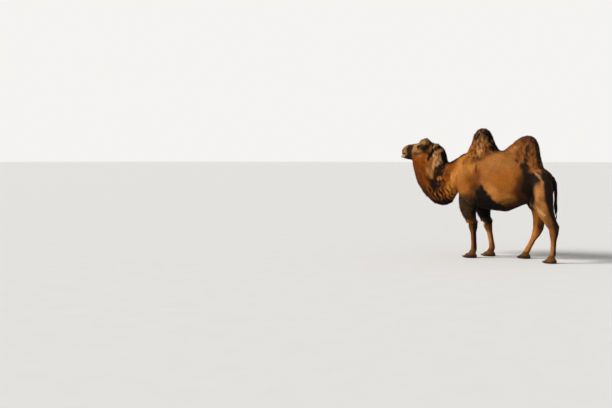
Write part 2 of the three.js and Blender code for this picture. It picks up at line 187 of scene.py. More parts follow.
# The coat's values, in millimetres and degrees. depth: from the skin to the tips. calm: how strongly
# the facets of the solids are smoothed away. hang: 1 for locks that hang free, 0 for hair that
# follows the skin. cover: how many times over the locks cover the skin. wool: height of the lumps
# that wool mats into.
COAT_VALUES = ("depth", "calm", "length", "width", "lift", "curl", "hang", "cover", "wool")


def coat_table(rows):
    return {name: dict(zip(COAT_VALUES, row)) for name, row in rows.items()}


COAT = coat_table({
    "trunk": (7, 1, 31, 8, 7, .04, 0, 2.4, 0),
    "hump": (17, 1, 43, 7.5, 20, .14, 0, 4.4, 5),
    "neck": (10, .9, 35, 7, 12, .07, 0, 3.0, 1),
    "mane": (25, .9, 52, 8, 26, .18, .1, 6.2, 8),
    "topknot": (19, .7, 42, 6.5, 27, .18, 0, 6, 6),
    "head": (3, .32, 10, 3.2, 7, .03, 0, 1.4, 0),
    "jaw": (3, .32, 11, 3.2, 8, .03, 0, 1.4, 0),
    "ear": (3, .06, 9, 2.8, 9, .04, 0, 2.0, 0),
    "tail": (8, .4, 34, 6, 10, .05, .2, 3.2, 0),
    "tuft": (16, .4, 85, 7, 9, .07, .9, 8, 0),
    "shoulder": (9, .9, 31, 7.5, 9, .05, 0, 2.5, 0),
    "thigh": (6, .9, 25, 7, 7, .04, 0, 2.2, 0),
    "shank": (3, .10, 16, 5, 7, .03, 0, 1.5, 0),
    "foot": (2, .10, 13, 4.5, 8, .03, 0, 1.2, 0),
})
# Longer hair that grows on a share of those regions.
LONG = coat_table({
    "puff": (30, .9, 58, 8, 28, .16, .15, 5.2, 9),
    "beard": (18, .9, 55, 8, 15, .12, .3, 4.2, 4),
    "belly": (15, 1, 50, 8, 14, .09, .45, 3.4, 2),
    "crest": (12, 1, 40, 7.5, 26, .13, .1, 3.6, 3),
})
REGIONS = list(COAT)
NODE_REGION = np.array([REGIONS.index(region_of(name)) for name in FLESH])


# ---------- the head's own axes ----------

def box_centre(name):
    low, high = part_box(name)
    return np.array((low + high) / 2)


LEFT_EYE = box_centre("eye_left")
RIGHT_EYE = box_centre("eye_right")
BETWEEN_EYES = (LEFT_EYE + RIGHT_EYE) / 2
HEAD_LEFT = unit(LEFT_EYE - RIGHT_EYE)
HEAD_FRONT = np.array([HEAD_LEFT[1], -HEAD_LEFT[0], 0.0])
EYE_APART = float(np.linalg.norm(LEFT_EYE - RIGHT_EYE)) / 2
EYE_RADIUS = 22 * MM
EYE_SINK = 4 * MM               # the eyeball sits this much deeper than its node
LID = 2.4 * MM


def head_place(p):
    """To the left, to the front and up from the point between the eyes."""
    away = p - BETWEEN_EYES
    return np.stack([away @ HEAD_LEFT, away @ HEAD_FRONT, away[:, 2]], axis=1)


def from_head(left, front, up):
    return BETWEEN_EYES + HEAD_LEFT * left + HEAD_FRONT * front + UP * up


# ---------- a mesh as arrays, with smoothing over its edges ----------

class Net:
    def __init__(self, mesh):
        self.count = len(mesh.vertices)
        flat = np.empty(self.count * 3, np.float32)
        mesh.vertices.foreach_get("co", flat)
        self.points = flat.reshape(-1, 3).astype(float)
        ends = np.empty(len(mesh.edges) * 2, np.int32)
        mesh.edges.foreach_get("vertices", ends)
        self.one, self.other = ends.reshape(-1, 2).T
        self.joined = np.bincount(ends, minlength=self.count).astype(float)
        mesh.calc_loop_triangles()
        flat = np.empty(len(mesh.loop_triangles) * 3, np.int32)
        mesh.loop_triangles.foreach_get("vertices", flat)
        self.triangles = flat.reshape(-1, 3)

    def neighbours(self, column):
        """The mean of a value over each point's neighbours."""
        to_one = np.bincount(self.one, column[self.other], self.count)
        to_other = np.bincount(self.other, column[self.one], self.count)
        return (to_one + to_other) / self.joined

    def smooth(self, values, times, rate=0.5):
        """Values evened out over the mesh. Rate may differ from point to point."""
        columns = [c.copy() for c in np.atleast_2d(values.T)]
        for _ in range(times):
            columns = [c + rate * (self.neighbours(c) - c) for c in columns]
        return np.stack(columns, axis=1) if values.ndim > 1 else columns[0]

    def crossed(self):
        """Each triangle's cross product: its normal, twice its area long."""
        a, b, c = (self.points[self.triangles[:, i]] for i in range(3))
        return np.cross(b - a, c - a)

    def areas(self):
        return np.linalg.norm(self.crossed(), axis=1) / 2

    def normals(self):
        cross = self.crossed()
        total = np.stack([
            sum(np.bincount(self.triangles[:, i], cross[:, axis], self.count) for i in range(3))
            for axis in range(3)
        ], axis=1)
        return unit(total)


# ---------- the flesh of the frame, as one body ----------

WELD = 0.01 * MM
GROW = 1.5 * MM                 # neighbours overlap by this much each, so that no cut is left
VOXEL = 10 * MM
SOCKET_FILL = 33 * MM           # closes the eye's socket and leaves a round bulge for the lids
SOCKET_FILL_SINK = 8 * MM
BALL = dict(u_segments=24, v_segments=16)
# The folds of skin that run from the flank down to the front of each thigh.
FOLDS = ((0.19, 0.985, 0.92), (-0.17, 0.81, 0.90))
FOLD_RADII = (0.045, 0.080, 0.13)
FOLD_TILT = np.radians(20)      # the lower end is further to the rear


def flesh_body():
    """All flesh nodes in one mesh, a tree to find the nearest node with, and each face's node."""
    whole = bmesh.new()
    owner = []
    for index, name in enumerate(FLESH):
        piece = bmesh.new()
        piece.from_mesh(NODES[name].data)
        bmesh.ops.remove_doubles(piece, verts=piece.verts, dist=WELD)
        piece.normal_update()
        for vertex in piece.verts:
            vertex.co += vertex.normal * GROW
        grown = as_mesh(piece, "grown")
        whole.from_mesh(grown)
        owner += [index] * len(grown.polygons)
        bpy.data.meshes.remove(grown)
    tree = BVHTree.FromBMesh(whole)
    for side in (1, -1):
        place = Matrix.Translation(from_head(side * (EYE_APART - SOCKET_FILL_SINK), 0, 0))
        bmesh.ops.create_uvsphere(whole, radius=SOCKET_FILL, matrix=place, **BALL)
    fold = Matrix.Rotation(FOLD_TILT, 4, "X") @ Matrix.Diagonal((*FOLD_RADII, 1))
    for at in FOLDS:
        bmesh.ops.create_uvsphere(whole, radius=1, matrix=Matrix.Translation(at) @ fold, **BALL)
    return as_mesh(whole, "flesh"), tree, np.array(owner)


def remeshed(mesh, voxel):
    body = placed("body", mesh)
    remesh = body.modifiers.new("remesh", "REMESH")
    remesh.mode = "VOXEL"
    remesh.voxel_size = voxel
    seen = body.evaluated_get(bpy.context.evaluated_depsgraph_get())
    made = bpy.data.meshes.new_from_object(seen)
    bpy.data.objects.remove(body)
    return made


def nearest_node(points, tree, owner):
    return owner[[tree.find_nearest(p)[2] for p in points.tolist()]]


HUMP_EDGE_TIMES = 70            # how softly the humps' long hair gives way to the flank's short hair
REGION_EDGE_TIMES = 10
LONG_EDGE_TIMES = 12
# Where the longer hair starts and where it is full: heights, places along Y, and the way the skin
# looks, up or down.
PUFF_TOP = (1.09, 0.99)
PUFF_ON_SHANK = (0.58, 0.64)
PUFF_AHEAD = (0.5, 0.3)
BEARD_UNDER = (0.25, 0.75)
BEARD_LOW = (1.5, 1.15)
BELLY_UNDER = (-0.45, -0.85)
BELLY_LOW = (1.1, 0.98)
CREST_UP = (0.35, 0.65)
CREST_WIDE = (0.06, 0.02)       # half widths, and how much wider it is ahead of the front hump
CREST_WIDER = 0.03


class Growth:
    """What grows at each point of the skin: shares of the regions and of the longer hair."""

    def __init__(self, net, node):
        shares = net.smooth(np.eye(len(REGIONS))[NODE_REGION[node]], REGION_EDGE_TIMES)
        self.share = dict(zip(REGIONS, shares.T))
        share = self.share
        both = share["hump"] + share["trunk"]
        share["hump"] = np.minimum(net.smooth(share["hump"], HUMP_EDGE_TIMES), both)
        share["trunk"] = both - share["hump"]
        out = net.smooth(net.normals(), 4)
        x, y, z = net.points.T
        under = rise(-out[:, 2] - 0.55 * out[:, 1], *BEARD_UNDER)
        wider = CREST_WIDER * rise(y, -0.1, -0.3)
        crest = rise(out[:, 2], *CREST_UP) * rise(np.abs(x), *(wide + wider for wide in CREST_WIDE))
        long = {
            "puff": share["shoulder"] * rise(z, *PUFF_TOP)
            + share["shank"] * rise(z, *PUFF_ON_SHANK) * rise(y, *PUFF_AHEAD),
            # the throat and the underside of the neck, down to the brisket
            "beard": share["neck"] * np.clip(under * (0.35 + 0.65 * rise(z, *BEARD_LOW)), 0, 1),
            "belly": share["trunk"] * rise(out[:, 2], *BELLY_UNDER) * rise(z, *BELLY_LOW),
            "crest": (share["trunk"] + share["neck"]) * crest,
        }
        self.long = {
            name: net.smooth(np.clip(value, 0, 1), LONG_EDGE_TIMES) for name, value in long.items()}
        self.face = share["head"] + share["jaw"]

    def value(self, what):
        """One of the coat's values at every point, in metres, radians or shares."""
        total = sum(share * COAT[name][what] for name, share in self.share.items())
        for name, share in self.long.items():
            total = total * (1 - share) + LONG[name][what] * share
        if what in ("depth", "length", "width", "wool"):
            return total * MM
        return np.radians(total) if what == "lift" else total


# ---------- the skin ----------

CALM_TIMES = 60
INSET_STEPS = 5


def rounded(net, calm):
    """Facets smoothed away, then what was lost of the broad form given back."""
    soft = net.smooth(net.points, CALM_TIMES, 0.5 * calm)
    lost = net.smooth(net.points - soft, CALM_TIMES, 0.5 * calm)
    return soft + lost


def inset(net, depth, calm):
    """The skin moved in from the tips of the coat, a little at a time."""
    for _ in range(INSET_STEPS):
        net.points = net.points - net.smooth(net.normals(), 3) * depth[:, None] / INSET_STEPS
        net.points = net.smooth(net.points, 1, 0.4 * calm)


CURL_ACROSS = 0.050
CURL_TALL = 0.075
CURL_WANDER = (0.06, 0.010, 51)
CURL_CREASE = 0.45              # how far a crease reaches into the curls beside it, in cells
# Sines of these sums of a cell's three numbers draw its curl's middle and its tone.
DRAW = np.array([
    [127.1, 269.5, 419.2, 71.7], [311.7, 183.3, 371.9, 113.5], [74.7, 246.1, 124.6, 271.9]])
DRAW_TIMES = 43758.5


def curls(p):
    """Wool as curls side by side. For each point, how far it is from the crease round its curl,
    from 0 to 1, and the tone of that curl, from -1 to 1."""
    at = wander(p, *CURL_WANDER) / (CURL_ACROSS, CURL_ACROSS, CURL_TALL)
    home = np.floor(at)
    first, second, tone = np.full(len(p), 9.0), np.full(len(p), 9.0), np.zeros(len(p))
    for step in itertools.product((-1, 0, 1), repeat=3):
        cell = home + step
        drawn = np.sin(cell @ DRAW) * DRAW_TIMES % 1
        away = np.linalg.norm(cell + drawn[:, :3] - at, axis=1)
        nearer = away < first
        second = np.where(nearer, first, np.minimum(second, away))
        tone = np.where(nearer, 2 * drawn[:, 3] - 1, tone)
        first = np.minimum(first, away)
    return np.clip((second - first) / CURL_CREASE, 0, 1) ** 0.7, tone


def refined(mesh, chosen):
    """The mesh with the faces between chosen points split in four."""
    work = bmesh.new()
    work.from_mesh(mesh)
    work.verts.ensure_lookup_table()
    edges = [e for e in work.edges if chosen[e.verts[0].index] and chosen[e.verts[1].index]]
    bmesh.ops.subdivide_edges(work, edges=edges, cuts=1, use_grid_fill=True)
    return as_mesh(work, "refined")


# ---------- the face ----------

LID_WIDE = 0.90                 # half width of the opening, as a share of the eyeball's radius
LID_OVER = 0.60                 # its height above the line between the corners
LID_UNDER = 0.46
LID_TILT = 0.12                 # the front corner lies lower


def eye_centre(side):
    return from_head(side * (EYE_APART - EYE_SINK), 0, 0)


def eye_axes(side):
    """Out of the eye, to its front corner and up."""
    out = unit(HEAD_LEFT * side + HEAD_FRONT * 0.22 + UP * 0.04)
    front = unit(HEAD_FRONT - out * (HEAD_FRONT @ out))
    return out, front, np.cross(front, out) * side


def lid_arch(across):
    """The opening's height at each place across it, as a share of its height at the middle."""
    return np.clip(1 - (across / LID_WIDE) ** 2, 0, 1) ** 0.8


def lid_edge(p, side):
    """How far each point is outside the opening between the lids, whether it is above it, how
    squarely it faces out of the eye, and how far it is from the eye's centre."""
    out, front, up = eye_axes(side)
    away = p - eye_centre(side)
    reach = np.linalg.norm(away, axis=1)
    ray = away / reach[:, None]
    across = ray @ front
    high = ray @ up + LID_TILT * across
    arch = lid_arch(across) * np.where(high > 0, LID_OVER, LID_UNDER)
    past = np.maximum(np.abs(across) - LID_WIDE, 0)
    edge = (np.abs(high) - arch + 1.5 * past) * EYE_RADIUS
    return edge, high > 0, ray @ out, reach


def shape_lids(net, side):
    edge, above, facing, reach = lid_edge(net.points, side)
    near_eye = (facing > 0.1) & (reach < 2.6 * EYE_RADIUS)
    fold = np.where(above, -1.6, -0.9) * MM * bump(edge, np.where(above, 6.5, 5) * MM, 1.8 * MM)
    thick = 0.8 * MM * bump(edge, 1.5 * MM, 1.6 * MM)
    lid = EYE_RADIUS + LID
    covered = np.where(reach < lid + 8 * MM, np.maximum(reach, lid), reach)
    covered = covered + (fold + thick) * rise(facing, 0.1, 0.4)
    opened = rise(edge, -1.0 * MM, 0.5 * MM)
    wanted = (EYE_RADIUS - 4 * MM) * (1 - opened) + covered * opened
    share = np.where(near_eye, rise(facing, 0.15, 0.45), 0)
    target = reach + (wanted - reach) * share
    centre = eye_centre(side)
    net.points = centre + (net.points - centre) * (target / reach)[:, None]


NOSTRIL = ((0.300, -0.082), (0.264, -0.046))      # front and up, from the lip to the back
NOSTRIL_BOW = 7 * MM            # the slit curves up by this much at its middle
MOUTH_BACK = 0.143
# Shallow hollows of the head: the middle and the radii, aside, to the front of the eyes and up.
TEMPLE = ((0.10, -0.047, 0.043), (0.05, 0.03, 0.02))
NOSE_SIDE = ((0.07, 0.108, -0.004), (0.04, 0.05, 0.018))
HOLLOW = 4 * MM


def mouth_line(front):
    return -0.124 + 0.06 * (0.262 - front)


def from_slit(front, up):
    """How far each point of the muzzle's side is from the slit of the nostril."""
    flat = np.stack([front, up], axis=1)
    start, end = np.array(NOSTRIL)
    span = end - start
    t = (flat - start) @ span / (span @ span)
    aside = (flat - start) @ np.array([span[1], -span[0]]) / np.linalg.norm(span)
    bow = NOSTRIL_BOW * (1 - np.clip(2 * t - 1, -1, 1) ** 2)
    past = np.maximum(np.abs(t - 0.5) - 0.5, 0) * np.linalg.norm(span)
    return np.hypot(aside - bow, past)


def shape_muzzle(net, share):
    """Nostrils with their rims, the mouth's line, fuller lips and the cleft of the upper lip."""
    left, front, up = head_place(net.points).T
    aside = np.abs(left)
    slit = from_slit(front, up)
    on_side = rise(aside, 0.008, 0.02)
    push = on_side * (2.8 * MM * bump(slit, 9 * MM, 4 * MM) - 10 * MM * bump(slit, 0, 3.8 * MM))
    from_mouth = up - mouth_line(front)
    along = rise(front, MOUTH_BACK - 0.015, MOUTH_BACK + 0.015)
    push += along * (2.2 * MM * bump(np.abs(from_mouth), 10 * MM, 5 * MM))
    parted = rise(front, 0.243, 0.298)
    push -= along * (6.5 + 7 * parted) * MM * bump(from_mouth, 0, (3.0 + 3.2 * parted) * MM)
    cleft = rise(front, 0.253, 0.270) * rise(up, -0.127, -0.117) * rise(up, -0.044, -0.058)
    push -= cleft * 9 * MM * bump(left, 0, 3.4 * MM)
    here = np.stack([aside, front, up], axis=1)
    for centre, radii in (TEMPLE, NOSE_SIDE):
        push -= HOLLOW * inside(here, centre, radii)
    net.points = net.points + net.normals() * (push * share)[:, None]


# ---------- feet ----------

FEET = [name for name in FLESH if name.endswith("_foot")]
TOE_CLEFT = 9 * MM              # its depth


def shape_feet(net, share):
    """The cleft between the two toes."""
    for name in FEET:
        low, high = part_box(name)
        middle = (low[0] + high[0]) / 2
        length = high[1] - low[1]
        x, y, z = net.points.T
        here = (np.abs(x - middle) < 0.12) & (y > low[1] - 0.02) & (y < high[1] + 0.02)
        front = rise(y, low[1] + 0.40 * length, low[1] + 0.25 * length)
        cleft = bump(x, middle, 5 * MM) * front * rise(z, 0.12, 0.08) * here
        net.points = net.points - net.normals() * (cleft * TOE_CLEFT * share)[:, None]


def shape_ears(net, share):
    """The ears drawn onto their own solids less the depth of their hair, so that they stay open."""
    whole = bmesh.new()
    for name in FLESH:
        if region_of(name) == "ear":
            whole.from_mesh(NODES[name].data)
    tree = BVHTree.FromBMesh(whole)
    whole.free()
    here = np.nonzero(share > 0.3)[0]
    pull = rise(share[here], 0.35, 0.75)[:, None]
    depth = COAT["ear"]["depth"] * MM
    for _ in range(3):
        at, normal = nearest_on(tree, net.points[here])
        net.points[here] += (at - normal * depth - net.points[here]) * pull
        net.points = net.smooth(net.points, 2, 0.5 * rise(share, 0.3, 0.5))


# The face, the ears, the feet and the lids are made of smaller faces than the rest.
FINE_SHARE = 0.3                # of the head, jaw, ears and feet, where the skin is fine
FINE_EAR = 0.25
FINE_EYES = (2.4, 1.7)          # distances from the eye, in radii of the eyeball
FINE_MUZZLE = ((0.13, 1.0), (-0.19, 0.03))      # to the front and up from the eyes


def make_skin():
    """The whole skin as a Net, with the coat that grows on it and the node at each point."""
    flesh, tree, owner = flesh_body()
    mesh = remeshed(flesh, VOXEL)

    def grown():
        net = Net(mesh)
        node = nearest_node(net.points, tree, owner)
        return net, node, Growth(net, node)

    net, node, growth = grown()
    calm = growth.value("calm")
    net.points = rounded(net, calm)
    inset(net, growth.value("depth"), calm)
    lump = growth.value("wool") * (curls(net.points)[0] - 0.7)
    net.points = net.points + net.smooth(net.normals(), 2) * lump[:, None]
    moved(mesh, net.points)
    fine = growth.face + growth.share["ear"] + growth.share["foot"]
    mesh = refined(mesh, fine > FINE_SHARE)
    mesh = refined(mesh, grown()[2].share["ear"] > FINE_EAR)
    for reach in FINE_EYES:
        away = [np.linalg.norm(Net(mesh).points - eye_centre(side), axis=1) for side in (1, -1)]
        mesh = refined(mesh, np.minimum(*away) < reach * EYE_RADIUS)
    muzzle = head_place(Net(mesh).points)[:, 1:]
    low, high = np.array(FINE_MUZZLE).T
    mesh = refined(mesh, ((muzzle > low) & (muzzle < high)).all(axis=1))
    net, node, growth = grown()
    ears, feet = growth.share["ear"], growth.share["foot"]
    face = np.clip(growth.face, 0, 1)
    net.points = net.smooth(net.points, 4, 0.5 * np.clip(face + feet + ears, 0, 1))
    shape_muzzle(net, face)
    shape_feet(net, feet)
    shape_ears(net, ears)
    for side in (1, -1):
        shape_lids(net, side)
    moved(mesh, net.points)
    return mesh, Net(mesh), growth, node


# ---------- the colours of the coat ----------

GROUND = {
    "trunk": "a6642a", "hump": "a8642f", "neck": "924804", "mane": "d08c4c", "topknot": "a4763e",
    "head": "98683a", "jaw": "8a4a1a", "ear": "8f5828", "tail": "1c100a", "tuft": "120a06",
    "shoulder": "a86422", "thigh": "b2743c", "shank": "8f5824", "foot": "784c22",
}
# Marks on both sides of the body, laid in this order: the colour, how strongly it is laid, the parts
# it lies on, its middle (Y and height), its half length and half height, how steeply its long side
# climbs to the rear in degrees, and how soft its edge is.
MARKS = (
    # the shoulder and the front of the flank
    ("ca8138", 0.85, "trunk shoulder neck", (-0.22, 1.50), (0.17, 0.20), 0, 0.7),
    ("d8822e", 0.90, "trunk neck hump", (-0.14, 1.72), (0.12, 0.09), 40, 0.7),
    ("985315", 0.70, "trunk shoulder", (-0.08, 1.31), (0.10, 0.10), 0, 0.8),
    ("703709", 0.90, "trunk shoulder", (0.05, 1.32), (0.08, 0.15), 0, 0.6),
    # painted shade: a narrow dark streak in the crease where the shoulder meets the trunk
    ("1c0c04", 1.00, "trunk shoulder", (0.030, 1.49), (0.015, 0.075), 4, 0.5),
    ("b46c25", 0.75, "shoulder", (-0.15, 1.15), (0.09, 0.08), 0, 0.6),
    ("4a230b", 0.90, "trunk shoulder", (0.06, 1.14), (0.10, 0.09), 0, 0.5),
    # the flank
    ("a85c12", 0.60, "trunk", (0.55, 1.27), (0.25, 0.15), 0, 0.8),
    ("b07238", 0.75, "trunk hump", (0.42, 1.58), (0.24, 0.09), 0, 0.8),
    ("b87436", 0.80, "trunk hump", (0.45, 1.67), (0.14, 0.04), 0, 0.6),
    ("cb8240", 0.75, "trunk", (0.35, 1.11), (0.14, 0.06), -45, 0.7),
    ("c07932", 0.75, "trunk", (0.53, 1.01), (0.14, 0.06), 0, 0.7),
    # partly darker hair and partly painted shade: the shadow that the belly's bulge casts into the
    # hollow between the flank and the thigh, down into the flank fold and up into the dip in front of
    # the hip
    ("42210a", 0.90, "trunk", (0.77, 1.06), (0.09, 0.13), 20, 0.7),
    ("4a2c12", 0.90, "trunk thigh", (0.875, 1.28), (0.135, 0.27), 0, 0.4),
    ("1e1108", 0.97, "trunk thigh", (0.935, 1.19), (0.115, 0.27), 0, 0.3),
    ("140a05", 0.95, "trunk thigh", (0.95, 1.02), (0.065, 0.15), 12, 0.4),
    ("220f05", 0.95, "trunk hump", (0.808, 1.56), (0.036, 0.11), 4, 0.5),
    ("2a1d14", 0.96, "trunk thigh", (1.03, 1.30), (0.085, 0.14), 0, 0.25),
    ("241812", 0.96, "trunk thigh hump", (0.950, 1.335), (0.205, 0.095), -44, 0.25),
    # the thigh
    ("c07e42", 0.75, "thigh", (1.09, 1.13), (0.07, 0.12), 0, 0.6),
    ("86542a", 0.85, "thigh", (1.16, 1.01), (0.05, 0.06), 0, 0.7),
    ("905628", 0.75, "thigh", (1.06, 0.93), (0.06, 0.05), 0, 0.7),
    ("8a5420", 0.85, "thigh shank", (1.22, 0.72), (0.05, 0.12), 0, 0.7),
    # painted shade on the rear of the rump, which faces away from the light
    ("1c140f", 0.95, "trunk thigh", (1.150, 1.36), (0.040, 0.13), 25, 0.3),
    # painted highlight: a pale lit strip along the ridge of the hip bone
    ("b47e4a", 0.95, "trunk thigh hump", (1.025, 1.40), (0.12, 0.018), -46, 0.5),
    ("cc9862", 0.75, "thigh shank", (1.14, 0.83), (0.07, 0.018), -45, 0.6),
    # the rear hump
    ("cc7e42", 0.85, "hump", (0.57, 1.77), (0.10, 0.14), 25, 0.7),
    ("a05c26", 0.70, "hump", (0.72, 1.77), (0.06, 0.14), 0, 0.7),
    ("20100a", 0.85, "hump trunk", (0.70, 1.585), (0.022, 0.035), 20, 0.7),
    # painted shade: a dark upright streak where the rear hump's front part turns away from the light
    ("3a1f0c", 0.92, "hump", (0.825, 1.72), (0.020, 0.17), -14, 0.6),
    ("d8863e", 0.90, "hump trunk", (0.93, 1.55), (0.06, 0.12), 0, 0.5),
    ("a06230", 0.85, "hump", (0.925, 1.78), (0.045, 0.09), 0, 0.6),
    # the sides of the front hump
    # painted highlight: a bright upright streak of lit wool on the side of the front hump
    ("f4aa64", 0.90, "hump", (0.045, 1.80), (0.055, 0.10), 0, 0.6),
    ("b86422", 0.85, "hump trunk", (-0.09, 1.85), (0.05, 0.13), 30, 0.6),
    ("985a20", 0.80, "hump trunk", (0.13, 1.66), (0.09, 0.06), 0, 0.7),
    ("d8842e", 0.85, "hump trunk neck", (-0.13, 1.71), (0.06, 0.07), 0, 0.6),
    ("925022", 0.80, "hump", (0.19, 1.76), (0.05, 0.10), -20, 0.6),
    # the neck, its dark curls and the bright locks on its rear
    ("783e14", 0.80, "neck", (-1.04, 1.25), (0.09, 0.22), 20, 0.7),
    ("602c0a", 0.85, "neck", (-0.90, 1.02), (0.13, 0.10), -40, 0.6),
    ("934a0c", 0.65, "neck trunk", (-0.49, 1.46), (0.10, 0.05), 30, 0.7),
    ("ec9a42", 0.92, "neck trunk shoulder", (-0.40, 1.32), (0.055, 0.15), 0, 0.6),
    ("e08c34", 0.92, "neck", (-0.45, 1.09), (0.10, 0.16), 0, 0.4),
)
# The upper edge of the black band, partly dark hair and partly painted shade, that runs from behind
# the elbow along the belly, and how far forward it reaches: heights and places along Y.
BAND_TOP = ((0.12, 1.26), (0.20, 1.155), (0.25, 1.105), (0.30, 1.055), (0.36, 0.985), (0.42, 0.938),
            (0.50, 0.905), (0.60, 0.878), (0.72, 0.90), (0.82, 0.965), (0.95, 1.00))
BAND_FRONT = ((0.85, -0.04), (0.95, -0.03), (1.05, 0.02), (1.15, 0.10), (1.25, 0.125))
# The lower edge of the front hump's dark cap and the front edge of the black behind it.
CAP_EDGE = ((-0.25, 1.99), (-0.09, 1.965), (0.09, 1.93), (0.20, 1.90), (0.32, 1.80), (0.37, 1.62))
CAP_REAR = ((1.60, 0.38), (1.75, 0.27), (1.85, 0.205), (1.95, 0.155), (2.05, 0.13), (2.15, 0.10))


# How the edges of the marks wander: the size of the lumps, how far and a seed.
WANDER = {
    "body": (0.11, 0.016, 60), "humps": (0.08, 0.015, 63), "neck": (0.08, 0.015, 66),
    "legs": (0.09, 0.014, 69), "face": (0.040, 0.010, 72), "top": (0.03, 0.005, 78),
}


class Paint:
    """Colours laid over one another at the points of a mesh."""

    def __init__(self, colour):
        self.colour = colour

    def lay(self, code, amount):
        amount = np.clip(amount, 0, 1)[:, None]
        self.colour = self.colour + (linear(code) - self.colour) * amount

    def spots(self, rows, share, along, up):
        """A table of marks: the colour, how strongly, the parts it lies on and its oval."""
        for code, amount, parts, *oval in rows:
            here = sum(share[name] for name in parts.split())
            self.lay(code, amount * here * spot(along, up, *oval))


def on_line(at, line):
    """The second of a line's two values where its first is `at`."""
    return np.interp(at, *zip(*line))


def spot(along, up, middle, half, climb, soft):
    """1 inside an oval seen from the side, and 0 outside it."""
    along, up = along - middle[0], up - middle[1]
    c, s = math.cos(math.radians(climb)), math.sin(math.radians(climb))
    away = np.hypot((along * c + up * s) / half[0], (up * c - along * s) / half[1])
    return 1 - rise(away, 1 - soft, 1 + soft)


def paint_body(paint, p, out, share, long):
    p = wander(p, *WANDER["body"])
    x, y, z = p.T
    lay = paint.lay
    ragged = 0.020 * ripple(p, 0.05, 3)
    trunk, shoulder = share["trunk"], share["shoulder"]
    paint.spots(MARKS, share, y, z)
    above = z - on_line(y, BAND_TOP) + ragged
    ahead = y - on_line(z, BAND_FRONT) + ragged
    # partly dark hair, partly painted shade: the black band along the underside of the barrel
    lay("140b06", rise(above, 0.025, -0.035) * rise(ahead, -0.03, 0.03) * (trunk + shoulder))
    # painted shade: black on the chest between the forelegs, where the light does not reach
    chest_shade = rise(np.abs(x), 0.20, 0.10) * rise(z, 1.10, 0.95) * (trunk + shoulder + share["neck"])
    lay("120a06", chest_shade * rise(y, -0.38, -0.28) * rise(y, 0.5, 0.3))
    # the long belly hair, darkened further as painted shade on the underside
    lay("1c1008", 0.9 * long["belly"])
    lay("503924", long["puff"] * (1 - share["shank"]))
    lay("663e1c", 0.8 * long["puff"] * rise(z, 0.97, 1.03))
    lay("2c1d12", 0.8 * long["puff"] * rise(ripple(p, 0.028, 4), 0.2, 0.9))
    # partly dark hair and partly painted shade behind the elbow; below it, painted shade on the inner
    # side of the upper foreleg
    lay("0c0705", shoulder * rise(z, 1.06, 0.98) * rise(y + ragged, -0.03, 0.03))
    lay("140c08", shoulder * rise(z, 1.02, 0.94) * rise(out[:, 0] * np.sign(x), 0.1, -0.4))
    lay("120c09", np.minimum(1, 1.3 * long["crest"]))


def paint_humps(paint, p, out, share):
    p = wander(p, *WANDER["humps"])
    y, z = p[:, 1], p[:, 2]
    lay = paint.lay
    ragged = 0.022 * ripple(p, 0.05, 5)
    tufts = ripple(p, 0.032, 7)
    front = share["hump"] * (y < 0.46)
    rear = share["hump"] - front
    lay("6e4c2e", 0.9 * front * rise(z - on_line(y, CAP_EDGE) + ragged, -0.04, 0.03))
    lay("4a3424", 0.9 * front * rise(z + ragged, 2.00, 2.06))
    behind = y - on_line(z, CAP_REAR) + ragged
    saddle = share["trunk"] * rise(z, 1.715, 1.745) * rise(y, 0.42, 0.34)
    lay("141112", (front + saddle) * rise(behind, -0.02, 0.03))
    lay("824e30", 0.9 * rear * rise(z + ragged, 1.85, 1.93))
    lay("4c2a16", 0.5 * rear * rise(y, 0.82, 0.88) * rise(z, 1.84, 1.92))
    # painted shade on the side of the rear hump that faces the rear, away from the light
    lay("2a1a10", 0.9 * rear * rise(out[:, 1], 0.62, 0.9))
    mottled = front * rise(behind, 0.03, -0.03) + rear * (0.2 + 0.4 * rise(y, 0.66, 0.80))
    lay("32190a", 0.72 * mottled * rise(tufts, 0.15, 0.7))
    lay("dc9a58", 0.40 * mottled * rise(tufts, -0.25, -0.8))


# The dark curls low on the neck, the bright ones behind them, and the light ring on the mane.
LOW_CURLS = ((-0.70, 1.01), (0.23, 0.16), -25, 0.4)
BRIGHT_CURLS = ((-0.47, 1.04), (0.12, 0.17), 0, 0.4)
RING_AT = (-0.657, 1.325)
# More marks on the neck and the mane, as MARKS.
MANE_MARKS = (
    ("8a4a14", 0.90, "neck mane", (-0.735, 1.435), (0.032, 0.022), 0, 0.6),
    ("8a6a50", 0.80, "neck mane", (-0.612, 1.52), (0.022, 0.022), 0, 0.5),
)


